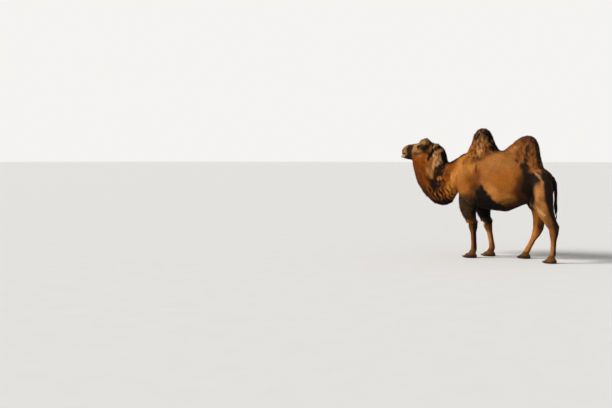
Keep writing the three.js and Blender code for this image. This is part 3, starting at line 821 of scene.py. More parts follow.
def paint_neck(paint, p, out, share):
    p = wander(p, *WANDER["neck"])
    y, z = p[:, 1], p[:, 2]
    lay = paint.lay
    neck, mane = share["neck"], share["mane"]
    both = neck + mane
    locks = np.sin(2 * math.pi * (y + 0.15 * z) / 0.064 + 1.6 * ripple(p, 0.10, 9))
    tufts = ripple(p, 0.034, 10)
    lay("6b3a16", 0.6 * neck * rise(-out[:, 1], 0.35, 0.75) * rise(z, 1.7, 1.5))
    lay("b05a10", 0.6 * neck * rise(tufts, 0.0, 0.6) * rise(z, 1.30, 1.42))
    lay("c87430", 0.7 * neck * spot(y, z, (-0.89, 1.60), (0.035, 0.09), 10, 0.6))
    low = neck * spot(y, z, *LOW_CURLS)
    lay("120804", 0.97 * low * rise(locks, -0.60, -0.10))
    lay("b86a26", 0.8 * low * rise(locks, -0.55, -0.85))
    lay("140a05", 0.95 * neck * spot(y, z, (-0.80, 1.22), (0.15, 0.05), -60, 0.5))
    lay("160b05", 0.95 * neck * spot(y, z, *BRIGHT_CURLS) * rise(locks, 0.5, 0.8))
    lay("110804", 0.95 * neck * rise(z + 0.015 * locks, 0.955, 0.89))
    lay("f0b070", 0.92 * mane * spot(y, z, (-0.76, 1.61), (0.10, 0.17), 0, 0.6))
    lay("d8924a", 0.92 * both * spot(y, z, (-0.86, 1.41), (0.045, 0.10), 20, 0.4))
    lay("5a2e12", 0.60 * mane * rise(tufts, 0.25, 0.8))
    dark = rise(z - 0.55 * (y + 0.80) + 0.05 * tufts, 1.53, 1.46) * rise(y, -0.82, -0.77)
    dark = dark * rise(y + 0.10 * (z - 1.3) + 0.03 * tufts, -0.55, -0.60)
    lay("1c1009", 0.96 * both * dark * rise(z + 0.05 * tufts, 1.10, 1.17))
    ring = np.hypot(y - RING_AT[0], z - RING_AT[1])
    lay("7a3c12", 0.95 * both * spot(y, z, (-0.60, 1.21), (0.05, 0.05), 0, 0.5))
    lay("c87a2a", both * rise(ring, 0.056, 0.040) * rise(tufts, 0.9, 0.2))
    paint.spots(MANE_MARKS, share, y, z)
    lay("14100e", mane * rise(out[:, 1] + 0.08 * tufts, 0.52, 0.72))


FOLD_SHADE_REACH = 1.25               # the darker hair and painted shade of each fold reach this much further than the fold
STIFLE = ((1.045, 0.875), (1.165, 0.765))       # the ends of the pale streak on the near thigh


def paint_legs(paint, p, out, share):
    p = wander(p, *WANDER["legs"])
    x, y, z = p.T
    lay = paint.lay
    outer, rear = out[:, 0] * np.sign(x), out[:, 1]
    thigh, shank = share["thigh"], share["shank"]
    leg = thigh + shank
    behind = rise(y, 0.45, 0.55)
    hind, lower, front = leg * behind, shank * behind, shank * (1 - behind)
    inner = rise(outer, 0.15, -0.25)
    # how squarely each point faces the rear, where painted shade is laid
    rear_shade = rise(rear + 0.15 * rise(z, 0.85, 1.0), 0.30, 0.60)
    # partly tan hair and partly painted light: the inner side of the hind legs brightened as if lit
    lay("e08a3a", 0.9 * hind * inner * rise(z, 0.88, 0.76))
    # painted shade, over the darker hair of the hocks: the rear of the hind legs and of the rump,
    # which face away from the light
    lay("3a1e0c", 0.85 * hind * inner * rise(rear, -0.15, 0.20) * bump(z, 0.56, 0.16))
    lay("5a3814", 0.55 * hind * (1 - inner) * rise(rear, -0.5, 0.0) * bump(z, 0.61, 0.09))
    lay("24180f", 0.95 * hind * rear_shade * rise(outer, -0.75, -0.45))
    lay("140d09", 0.90 * hind * (1 - inner) * rise(rear, 0.08, 0.30) * bump(z, 0.60, 0.12))
    lay("241810", 0.9 * (share["trunk"] + thigh) * rise(y, 1.10, 1.16) * rear_shade)
    lay("5a3410", 0.85 * hind * rear_shade * rise(outer, -0.3, -0.7))
    lay("b0682a", 0.85 * front * bump(z, 0.635, 0.03) * rise(outer, 0.0, 0.3))
    lay("54301a", 0.9 * front * bump(z, 0.54, 0.055) * (1 - inner))
    lay("7c3c10", 0.7 * front * bump(z, 0.36, 0.12) * (1 - inner))
    # painted shade on the rear of the fore cannons, which face away from the light
    lay("1a0e08", 0.95 * front * rise(rear, 0.05, 0.40) * rise(z, 0.08, 0.16) * (1 - 0.6 * inner))
    lay("5c2c10", 0.8 * front * inner * bump(z, 0.46, 0.05))
    # painted shade: black on the inner side of the foreleg above the knee
    lay("18100b", 0.9 * front * inner * rise(z, 0.48, 0.53))
    # partly tan hair and partly painted light: the inner side of the forelegs brightened where it
    # faces forward
    lay("c47a38", 0.8 * front * inner * rise(rear, -0.15, -0.50) * bump(z, 0.55, 0.08))
    lay("d08e4a", 0.8 * front * inner * bump(z, 0.30, 0.12) * rise(rear, 0.6, 0.2))
    # painted shade on the rear of the hock, over its darker hair
    lay("3c2614", 0.8 * lower * bump(z, 0.54, 0.05) * rise(rear, -0.2, 0.4))
    lay("b87c46", 0.7 * lower * bump(z, 0.22, 0.12) * rise(rear, 0.6, 0.3))
    lay("33241a", 0.9 * share["foot"] * rise(z, 0.06, 0.025))
    stifle = rise(along_line(p[:, 1:], *STIFLE), 0.032, 0.006)
    lay("dcae70", 0.65 * leg * (x > 0) * rise(outer, 0.3, 0.7) * stifle)
    # partly darker hair and partly painted shade in the folds of skin between the flank and the thigh
    near_flank = (leg + share["trunk"]) * rise(np.abs(x), 0.24, 0.21)
    for at in FOLDS:
        lay("1a110b", 0.95 * near_flank * inside(p, at, FOLD_SHADE_REACH * np.array(FOLD_RADII)))


# Marks on both sides of the face, as MARKS but all on the head and the jaw: the middle is to the
# front of the eye and above it.
HEAD_MARKS = (
    ("5c3418", 0.75, (0.04, -0.115), (0.09, 0.030), 0, 0.6),
    ("8c4a1c", 0.75, (-0.07, -0.13), (0.08, 0.035), 0, 0.7),
    ("c87a34", 0.80, (-0.060, -0.168), (0.060, 0.020), 20, 0.7),
    ("b07e4a", 0.90, (0.085, -0.015), (0.032, 0.058), 0, 0.4),
    ("c89050", 0.85, (0.02, 0.05), (0.07, 0.026), -15, 0.6),
    ("d08c50", 0.80, (0.038, -0.005), (0.016, 0.035), 0, 0.6),
    ("5a3a22", 0.80, (-0.105, 0.005), (0.092, 0.075), 12, 0.4),
    ("120c09", 0.97, (-0.122, -0.024), (0.086, 0.058), 10, 0.3),
    ("120c09", 0.92, (-0.155, 0.045), (0.050, 0.038), 0, 0.4),
    # painted highlight: a small orange spot where light catches the cheek under the eye
    ("c8783e", 0.60, (-0.008, -0.072), (0.030, 0.013), -8, 0.9),
)
# The dark band from the crown down between the cheek and the mane, to the front of the eye and up.
CHEEK_BAND = ((-0.42, 0.005), (-0.325, 0.012), (-0.225, -0.085), (-0.175, -0.19))


def paint_face(paint, p, share):
    left, front, up = head_place(p).T
    side = np.abs(left)
    lay = paint.lay
    _, along, high = wander(np.stack([side, front, up], axis=1), *WANDER["face"]).T
    ragged = 0.009 * ripple(p, 0.030, 11) + 0.005 * ripple(p, 0.014, 14)
    head = share["head"] + share["jaw"]
    lay("964806", 0.85 * head * rise(up, -0.145, -0.175) * rise(front, 0.13, 0.09))
    for code, amount, *oval in HEAD_MARKS:
        lay(code, amount * head * spot(along, high, *oval))
    slant = front + ragged + 0.12 * (up + 0.06)
    band = rise(slant, 0.100, 0.125) * rise(slant, 0.225, 0.200)
    lay("24160d", 0.96 * head * band * (1 - 0.55 * rise(up, 0.0, 0.03) * rise(side, 0.05, 0.02)))
    lay("a07444", 0.9 * head * rise(front + ragged, 0.205, 0.225))
    lay("c08458", 0.8 * head * spot(front, up, (0.245, -0.068), (0.020, 0.020), 0, 0.7))
    lay("5a3418", 0.85 * head * rise(front, 0.20, 0.24) * rise(up + ragged, -0.090, -0.105))
    gap = up - mouth_line(front)
    lip = rise(front + ragged, 0.195, 0.225)
    lip_low = -0.040 * rise(front, 0.18, 0.26)
    lay("2a1a0e", 0.9 * head * rise(front, 0.12, 0.15) * rise(gap, -0.035, -0.05))
    lay("dcb878", head * lip * rise(gap, 0.0, -0.006) * rise(gap - lip_low + ragged, -0.006, 0.006))
    for which in (1, -1):
        edge, _, facing, reach = lid_edge(p, which)
        rim = head * ((reach < 1.5 * EYE_RADIUS) & (facing > 0))
        lay("24140c", 0.92 * rim * rise(edge, 10 * MM, 5 * MM))
        lay("0c0705", rim * rise(edge, 2.6 * MM, 1.2 * MM))
    on_side = rise(side, 0.008, 0.02) * rise(front, 0.20, 0.22)
    lay("0e0806", head * on_side * rise(from_slit(front, up), 0.0065, 0.0035))
    mouth = rise(front, MOUTH_BACK, MOUTH_BACK + 0.02) * rise(np.abs(gap), 3.6 * MM, 2 * MM)
    lay("0e0806", head * mouth)


# Marks behind the cheek, on the topknot and on the ears, placed as HEAD_MARKS are.
TOP_MARKS = (
    ("1e120b", 0.92, "topknot behind", (-0.195, 0.080), (0.03, 0.045), 0, 0.4),
    ("a4602c", 0.85, "behind ear", (-0.218, 0.030), (0.024, 0.042), 0, 0.4),
    ("e0bc86", 0.90, "ear", (-0.225, 0.070), (0.030, 0.010), 20, 0.5),
    ("e2c080", 0.95, "ear near_ear", (-0.290, 0.008), (0.052, 0.015), -58, 0.3),
    # painted shade inside the ear's hollow
    ("160c07", 0.97, "ear", (-0.252, 0.034), (0.020, 0.038), 10, 0.3),
)


def paint_top(paint, p, share):
    """The ears, the topknot and the dark band between the cheek and the mane."""
    _, front, up = head_place(p).T
    lay = paint.lay
    moved_by = wander(np.stack([0 * front, front, up], axis=1), *WANDER["top"])
    ear, topknot = share["ear"], share["topknot"]
    behind = share["head"] + share["neck"] + share["mane"] + ear * rise(up, 0.0, -0.03)
    lay("48280f", 0.85 * behind * spot(front, up, (-0.140, -0.090), (0.085, 0.024), 8, 0.5))
    for start, end in zip(CHEEK_BAND, CHEEK_BAND[1:]):
        line = along_line(moved_by, (0, *start), (0, *end))
        lay("140c07", 0.97 * behind * rise(line, 0.036, 0.018))
    lump = ripple(p, 0.03, 13)
    lay("dca866", 0.85 * topknot * rise(lump, -0.6, 0.1) * rise(front, -0.12, -0.09))
    lay("865838", 0.85 * topknot * rise(front, -0.09, -0.12))
    lay("3a2212", 0.6 * topknot * rise(lump, 0.4, 0.9))
    parts = dict(ear=ear, topknot=topknot, behind=behind, near_ear=0.4 * behind)
    paint.spots(TOP_MARKS, parts, front, up)


def coat_colour(net, growth):
    p = net.points
    out = net.smooth(net.normals(), 3)
    share, long = growth.share, growth.long
    paint = Paint(sum(share[name][:, None] * linear(code) for name, code in GROUND.items()))
    paint_body(paint, p, out, share, long)
    paint_humps(paint, p, out, share)
    paint_neck(paint, p, out, share)
    paint_legs(paint, p, out, share)
    paint_face(paint, p, share)
    paint_top(paint, p, share)
    top, tone = curls(p)
    woolly = np.clip(growth.value("wool") / (6 * MM) + 0.3 * share["neck"], 0, 1)
    shade = 1 + 0.08 * ripple(p, 0.16, 21) + 0.06 * ripple(p, 0.045, 22)
    # painted shade in the creases between the curls of wool, and a tone of its own for each curl
    shade *= 1.04 - 0.45 * woolly * (1 - top) + 0.30 * woolly * net.smooth(tone, 2)
    return np.clip(paint.colour * shade[:, None], 0, 1)


# ---------- the lie of the coat ----------

EAR_RISE = unit(np.array([0.45, 0.35, 1.0]))


# The way the hair points on each region: back, up, and outward to each side.
LIE = {
    "trunk": (1.0, -0.40, 0.25), "hump": (0.25, -1.0, 0.9), "mane": (0.35, -1.0, 0.7),
    "tail": (0.25, -1.0, 0), "tuft": (0.05, -1.0, 0), "shoulder": (0.40, -1.0, 0),
    "thigh": (0.40, -1.0, 0), "shank": (0.10, -1.0, 0), "foot": (-0.40, -1.0, 0),
}
SWIRL = 2.2                     # how far curly hair turns aside from that


def lie_of_coat(net, growth):
    """The way the hair points at each point of the skin, along the skin."""
    p = net.points
    out = net.smooth(net.normals(), 3)
    x, _, z = p.T
    outward = (np.sign(x) * rise(np.abs(x), 0, 0.03))[:, None] * np.array([1.0, 0, 0])
    way = {name: np.array([0, back, up]) + outward * apart for name, (back, up, apart) in LIE.items()}
    left = head_place(p)[:, 0]
    head_side = (np.sign(left) * rise(np.abs(left), 0, 0.02))[:, None] * HEAD_LEFT
    low_neck = rise(z, 1.35, 1.0)[:, None]
    way["neck"] = np.array([0, 0.40, -1.0]) * (1 - low_neck) + np.array([0, 1.0, -0.35]) * low_neck
    way["topknot"] = HEAD_FRONT * -0.5 + UP * -0.7 + head_side * 0.9
    way["head"] = UP * -0.30 - HEAD_FRONT
    way["jaw"] = UP * -0.45 - HEAD_FRONT
    way["ear"] = np.stack([np.sign(left), np.ones(len(p)), np.ones(len(p))], axis=1) * EAR_RISE
    flow = sum(share[:, None] * way[name] for name, share in growth.share.items())
    belly = growth.long["belly"][:, None]
    flow = flow * (1 - belly) + belly * np.array([0, 0.7, -1.0])
    swirl = np.stack([ripple(p, 0.10, seed) for seed in (31, 32, 33)], axis=1)
    flow = unit(flow) + SWIRL * swirl * growth.value("curl")[:, None]
    flow = flow - out * (flow * out).sum(axis=1, keepdims=True)
    return unit(net.smooth(flow, 4))


# ---------- locks of hair ----------

SEED = 2026
MOST_TRIANGLES = 1_470_000
PATCH = 0.003                   # each lock's own patch on the unwrap called OFBake
PATCH_MARGIN = 0.004            # room left round each node's strip of that unwrap
STRAND = (8 * MM, 30 * MM)      # the width and length of a lock that spans the Strand map once
RINGS = ((37 * MM, 2), (47 * MM, 3), (1.0, 4))    # the longest lock for each number of rings
FACE_RINGS = 4                  # for lashes and whiskers
LENGTHS = (0.75, 1.2)           # the shortest and the longest, as shares of what grows there
WIDTHS = (0.75, 1.3)
LIFTS = (0.7, 1.25)
TURN = 0.10                     # how far each lock turns aside, in radians
CURL_TURN = 0.6                 # how much further it turns for each unit of curl
TONE = 0.07                     # how far the locks differ in tone and in hue
HUE = 0.02
CLUMP = 0.03                    # tips within about this distance draw together
CLUMP_OF = 10                   # locks to each one that the others draw to
GROWN_OVER = 22 * MM            # locks longer than this are laid along the skin's curve
ROOT_SINK = 1.5 * MM
LOWEST_HAIR = 3 * MM
SOFT_LIGHT = 0.6                # how far a lock takes the light as the skin under it does


def triangles_of(rings):
    return 6 * (rings - 1) + 4


def scattered(net, thickness, rng):
    """Roots spread over the skin: the triangle of each and its place in it."""
    total = np.cumsum(net.areas() * thickness[net.triangles].mean(axis=1))
    number = int(total[-1])
    marks = (np.arange(number) + rng.random(number)) / number * total[-1]
    face = np.minimum(np.searchsorted(total, marks), len(total) - 1)
    a, b = rng.random((2, number))
    over = a + b > 1
    a, b = np.where(over, 1 - a, a), np.where(over, 1 - b, b)
    return face, np.stack([1 - a - b, a, b], axis=1)


class Roots:
    """Where locks grow: at, out, lie, colour, length, width, lift, curl and hang of each."""

    def __init__(self, **fields):
        self.fields = fields
        self.count = len(fields["at"])
        self.__dict__.update(fields)

    def chosen(self, mask):
        return Roots(**{name: values[mask] for name, values in self.fields.items()})


def roots_on(net, face, weight, fields):
    """Roots with every value taken from the skin at their place in a triangle, and the point of
    the skin that is nearest to each."""
    corner = net.triangles[face]
    roots = Roots(**{
        name: np.einsum("nc,nc...->n...", weight, field[corner]) for name, field in fields.items()})
    return roots, corner[np.arange(len(face)), weight.argmax(axis=1)]


def middle_lines(roots, rings, tree, rng):
    """The middle line of each lock, from its root to its tip."""
    number = roots.count
    out, lie = unit(roots.out), unit(roots.lie)
    turn = rng.normal(0, TURN, number) + roots.curl * rng.normal(0, CURL_TURN, number)
    lie = unit(lie * np.cos(turn)[:, None] + np.cross(out, lie) * np.sin(turn)[:, None])
    aside = np.cross(out, lie)
    length = roots.length * rng.uniform(*LENGTHS, number)
    lift = roots.lift * rng.uniform(*LIFTS, number)
    phase = roots.phase + rng.normal(0, 0.5, number)
    turns = 0.45 + 1.4 * roots.curl + rng.normal(0, 0.10, number)
    bent = np.nonzero((length > GROWN_OVER) & (roots.hang < 0.95))[0]
    lines = np.empty((number, rings + 1, 3))
    for step in range(rings + 1):
        t = step / rings
        wave = phase + turns * 2 * math.pi * t
        loose = length * roots.curl * min(1, 2.2 * t)
        swing = 0.8 * loose * np.sin(wave)
        bob = 0.6 * loose * np.cos(wave)
        height = length * np.sin(lift) * t * (1.6 - 0.6 * t) + np.maximum(bob, -0.3 * loose)
        flat = roots.at + lie * (length * np.cos(lift) * t)[:, None] + aside * swing[:, None]
        laid = flat + out * height[:, None]
        if step and len(bent):
            where, normal = nearest_on(tree, flat[bent])
            laid[bent] = where + normal * height[bent, None]
        droop = (length * t * t * 0.55)[:, None] * UP
        free = flat + out * (height * 0.8)[:, None] - droop
        lines[:, step] = laid + (free - laid) * roots.hang[:, None]
    clumped(roots, lines, rng)
    lines[:, 0] -= out * ROOT_SINK
    lines[:, :, 2] = np.maximum(lines[:, :, 2], LOWEST_HAIR)
    return lines, out


def clumped(roots, lines, rng):
    """Draws the tips of neighbouring locks together, the more the curlier the hair is."""
    if roots.count < 4 * CLUMP_OF:
        return
    leaders = rng.choice(roots.count, roots.count // CLUMP_OF, replace=False)
    near = KDTree(len(leaders))
    for index, at in enumerate(roots.at[leaders].tolist()):
        near.insert(at, index)
    near.balance()
    found = [near.find(at)[1:] for at in roots.at.tolist()]
    leader = leaders[[index for index, _ in found]]
    distance = np.array([gap for _, gap in found])
    pull = np.clip(0.22 + 1.6 * roots.curl, 0, 0.6) * rise(distance, CLUMP, 0.5 * CLUMP)
    tip = lines.shape[1] - 1
    for step in range(1, tip + 1):
        t = step / tip
        apart = lines[leader, step] - lines[:, step]
        lines[:, step] += apart * (pull * t * t)[:, None]


def lock_faces(rings):
    """The corners of one lock's faces, and where each face starts among them."""
    tip = rings * 3
    faces = [(0, 1, 2)]
    for a, b in ((0, 1), (1, 2), (2, 0)):
        faces += [(3 * k + a, 3 * k + 3 + a, 3 * k + 3 + b, 3 * k + b) for k in range(rings - 1)]
        faces.append((tip - 3 + a, tip, tip - 3 + b))
    starts = np.cumsum([0] + [len(face) for face in faces[:-1]])
    return np.array([corner for face in faces for corner in face]), starts


def lock_mesh(name, roots, rings, tree, places, rng):
    """Closed tapering locks with a flat underside and a ridge above, as one mesh."""
    lines, out = middle_lines(roots, rings, tree, rng)
    number = roots.count
    run = np.gradient(lines, axis=1)
    aside = unit(np.cross(run, out[:, None]))
    over = unit(np.cross(aside, run))
    t = np.arange(rings) / rings
    taper = (0.75 + 0.5 * t) * (1 - t ** 2.2)
    wide = roots.width * rng.uniform(*WIDTHS, number)
    half = (wide[:, None] * taper / 2)[:, :, None]
    thick = (0.30 + 0.9 * roots.curl[:, None, None]) * half
    body = lines[:, :rings]
    ring = np.stack([body - aside[:, :rings] * half, body + aside[:, :rings] * half,
                     body + over[:, :rings] * thick], axis=2)
    points = np.concatenate([ring.reshape(number, -1, 3), lines[:, rings:]], axis=1)
    corners, starts = lock_faces(rings)
    block = np.arange(number)[:, None]
    mesh = bpy.data.meshes.new(name)
    mesh.vertices.add(points.shape[0] * points.shape[1])
    mesh.loops.add(number * len(corners))
    mesh.loops.foreach_set("vertex_index", (corners + block * points.shape[1]).ravel())
    mesh.polygons.add(number * len(starts))
    mesh.polygons.foreach_set("loop_start", (starts + block * len(corners)).ravel())
    mesh.polygons.foreach_set("use_smooth", np.ones(number * len(starts), bool))
    mesh.vertices.foreach_set("co", points.astype(np.float32).ravel())
    mesh.update(calc_edges=True)
    ways = np.stack([-aside, aside, over], axis=2)
    soft = SOFT_LIGHT * out[:, None, None] + (1 - SOFT_LIGHT) * ways
    tips = SOFT_LIGHT * out + (1 - SOFT_LIGHT) * over[:, rings]
    normals = np.concatenate([soft[:, :rings].reshape(number, -1, 3), tips[:, None]], axis=1)
    mesh.normals_split_custom_set_from_vertices(unit(normals).reshape(-1, 3))
    across_along = np.stack([
        np.append(np.tile([0.0, 1.0, 0.5], rings), 0.5), np.append(np.repeat(t, 3), 1.0)], axis=1)
    patch = places[:, None] + PATCH * (across_along - 0.5)
    add_map(mesh, "OFBake", patch[:, corners].reshape(-1, 2))
    size = np.stack([wide, roots.length], axis=1)[:, None] / STRAND
    strand = across_along * size + rng.uniform(0, 50, (number, 1, 2))
    add_map(mesh, "Strand", strand[:, corners].reshape(-1, 2))
    # each lock is darker at its root than at its tip: painted shade deep in the coat
    tone = rng.normal(1, TONE, (number, 1, 1)) * (0.84 + 0.26 * across_along[:, 1:])
    warm = 1 + rng.normal(0, HUE, (number, 1, 3))
    add_colour(mesh, (roots.colour[:, None] * tone * warm).reshape(-1, 3))
    return mesh


def add_map(mesh, name, values):
    layer = mesh.uv_layers.new(name=name)
    layer.data.foreach_set("uv", values.astype(np.float32).ravel())


def add_colour(mesh, colour):
    layer = mesh.color_attributes.new("Coat", "FLOAT_COLOR", "POINT")
    full = np.concatenate([np.clip(colour, 0, 1), np.ones((len(colour), 1))], axis=1)
    layer.data.foreach_set("color", full.astype(np.float32).ravel())


def unwrapped(roots, node):
    """Each root's place on an unwrap of the skin under one piece of the coat. Every node has a
    strip of its own, rolled out round the longest side of its box."""
    places = np.zeros((roots.count, 2))
    names = np.unique(node)
    share = np.array([np.sum(node == n) for n in names]) ** 0.5
    edges = np.concatenate([[0], np.cumsum(share / share.sum())])
    for n, start, end in zip(names, edges, edges[1:]):
        here = node == n
        p = roots.at[here]
        low, high = p.min(axis=0), p.max(axis=0)
        middle = (low + high) / 2
        if FLESH[n] in ("trunk", "neck_lower"):
            middle[0] = 0
        length = int((high - low).argmax())
        one, other = (axis for axis in range(3) if axis != length)
        angle = np.arctan2(p[:, one] - middle[one], p[:, other] - middle[other])
        around = (angle - angle.min()) / max(np.ptp(angle), 1e-6)
        far = (p[:, length] - low[length]) / max(high[length] - low[length], 1e-6)
        places[here, 0] = start + PATCH_MARGIN + around * (end - start - 2 * PATCH_MARGIN)
        places[here, 1] = PATCH_MARGIN + far * (1 - 2 * PATCH_MARGIN)
    return places


# The piece of the coat that grows on each region, and a node that goes with it.
PIECES = {
    "head": ("head", "head"), "ear": ("head", "head"), "jaw": ("jaw", "jaw"),
    "mane": ("mane_and_topknot", "mane"), "topknot": ("mane_and_topknot", "mane"),
    "hump": ("{node}", "{node}"), "tail": ("tail", "tail"), "tuft": ("tail", "tail"),
    "trunk": ("trunk_{side}", "trunk"), "neck": ("neck_{side}", "neck_lower"),
    "shoulder": ("shoulder_{side}", "foreleg_{side}_upper"),
    "thigh": ("thigh_{side}", "hind_leg_{side}_upper"),
    "shank": ("{pair}s", "{pair}_left_lower"), "foot": ("{pair}s", "{pair}_left_lower"),
}


def piece_of(name, side):
    """The piece of the coat that grows on a node, on the left or on the right, and the node that goes
    with it.
    """
    pair = "foreleg" if name.startswith("foreleg") else "hind_leg"
    piece, slot = (text.format(node=name, side=side, pair=pair) for text in PIECES[region_of(name)])
    return f"coat_{piece}", slot


def joined(meshes, name, material):
    """Several meshes with the same layers as one object."""
    bpy.ops.object.select_all(action="DESELECT")
    parts = [placed(name, mesh) for mesh in meshes]
    for part in parts:
        part.select_set(True)
    bpy.context.view_layer.objects.active = parts[0]
    if len(parts) > 1:
        bpy.ops.object.join()
    made = bpy.context.view_layer.objects.active
    made.name = name
    made.data.materials.clear()
    made.data.materials.append(material)
    return made


def grows_hair(net, growth, out):
    """1 where hair grows, 0 on the eyes, lips' inner side, nostrils and soles."""
    _, front, up = head_place(net.points).T
    grows = 1 - growth.share["foot"] * rise(-out[:, 2], 0.3, 0.7)
    grows = grows * rise(net.points[:, 2], 0.006, 0.02)
    for side in (1, -1):
        edge, _, facing, reach = lid_edge(net.points, side)
        lids = (reach < 1.6 * EYE_RADIUS) & (facing > 0)
        grows = grows * np.where(lids, rise(edge, 1.5 * MM, 4 * MM), 1)
    gap = np.abs(up - mouth_line(front))
    bare = rise(front, 0.208, 0.218) * rise(from_slit(front, up), 5 * MM, 3 * MM)
    bare = bare + rise(front, MOUTH_BACK, MOUTH_BACK + 0.01) * rise(gap, 4 * MM, 2.5 * MM)
    return grows * (1 - np.clip(growth.face * bare, 0, 1))


LASH_ROWS = ((1, 52, 30 * MM), (-1, 34, 15 * MM))       # above or below, how many, how long
WHISKERS = 70


def bristles(at, out, lie, code, length, width, lift, curl, phase):
    """Roots of hairs of one colour, width, lift and curl that hang free."""
    full = np.ones(len(at))
    return Roots(
        at=at, out=out, lie=unit(lie), colour=full[:, None] * linear(code), length=length,
        width=width * full, lift=lift * full, curl=curl * full, hang=full, phase=phase * full)


def lashes(side, above, number, length, rng):
    """Roots of the lashes along the edge of one lid."""
    out, front, up = eye_axes(side)
    across = np.linspace(-0.86, 0.86, number) * LID_WIDE + rng.normal(0, 0.012, number)
    high = lid_arch(across) * (LID_OVER if above > 0 else -LID_UNDER) - LID_TILT * across
    level = np.sqrt(np.clip(1 - across ** 2 - high ** 2, 0, 1))
    ray = across[:, None] * front + high[:, None] * up + level[:, None] * out
    return bristles(
        eye_centre(side) + ray * (EYE_RADIUS + LID), ray,
        out * 0.9 + up * above * 0.10 + ray * 0.2 + UP * 0.15, "17100c",
        length * rng.uniform(0.7, 1.1, number), 1.3 * MM, 0.15, 0.05, 0)


def whiskers(net, face, rng):
    """A few long hairs round the lips and on the chin."""
    left, front, up = head_place(net.points).T
    around = (face > 0.9) & (front > 0.218) & (up < -0.09) & (np.abs(left) < 0.08)
    at = rng.choice(np.nonzero(around)[0], WHISKERS, replace=False)
    out = net.normals()[at]
    return bristles(
        net.points[at], out, HEAD_FRONT * -0.25 - UP * 0.4 + out * 0.8, "5a4330",
        rng.uniform(14, 34, WHISKERS) * MM, 0.7 * MM, 0.3, 0.08, at % 6.0)


def face_hairs(net, face, place, tree, rng):
    hairs = [
        lashes(side, above, number, length, rng)
        for side in (1, -1) for above, number, length in LASH_ROWS
    ]
    hairs.append(whiskers(net, face, rng))
    return [
        lock_mesh("hairs", roots, FACE_RINGS, tree, np.tile(place, (roots.count, 1)), rng)
        for roots in hairs
    ]


def make_coat(net, node, growth, colour, material):
    """The pieces of the coat, each with its locks and its body."""
    rng = np.random.default_rng(SEED)
    out = net.smooth(net.normals(), 1)
    front = head_place(net.points)[:, 1]
    fine = 1 - 0.45 * growth.face * rise(front, 0.05, 0.18)
    by_ear = net.smooth(growth.share["ear"], 14) * (1 - growth.share["ear"])
    fine = fine * (1 - 0.6 * rise(by_ear, 0.02, 0.2))
    length, width = growth.value("length") * fine, growth.value("width") * (0.4 + 0.6 * fine)
    thickness = growth.value("cover") / (length * width) * grows_hair(net, growth, out)
    cost = np.select([length < top for top, _ in RINGS], [triangles_of(n) for _, n in RINGS])
    expected = (net.areas() * (thickness * cost)[net.triangles].mean(axis=1)).sum()
    thickness = thickness * min(1, MOST_TRIANGLES / expected)
    fields = {
        "at": net.points, "out": out, "lie": lie_of_coat(net, growth), "colour": colour,
        "length": length, "width": width, "phase": 2 * math.pi * ripple(net.points, 0.07, 41),
        **{what: growth.value(what) for what in ("lift", "curl", "hang")},
    }
    roots, nearest = roots_on(net, *scattered(net, thickness, rng), fields)
    root_node = node[nearest]
    pieces = np.array([[piece_of(name, side) for side in ("right", "left")] for name in FLESH])
    slots = dict(pieces.reshape(-1, 2).tolist())
    piece = pieces[root_node, (roots.at[:, 0] > 0).astype(int), 0]
    tree = BVHTree.FromPolygons(net.points.tolist(), net.triangles.tolist())
    for name in sorted(slots):
        here = piece == name
        some = roots.chosen(here)
        places = unwrapped(some, root_node[here])
        shortest, meshes = 0, []
        for longest, rings in RINGS:
            fit = (some.length >= shortest) & (some.length < longest)
            shortest = longest
            if fit.any():
                meshes.append(lock_mesh(name, some.chosen(fit), rings, tree, places[fit], rng))
        if name == "coat_head":
            meshes += face_hairs(net, growth.face, places[0], tree, rng)
        coat = joined(meshes, name, material)
        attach(coat, "root")


# ---------- materials ----------

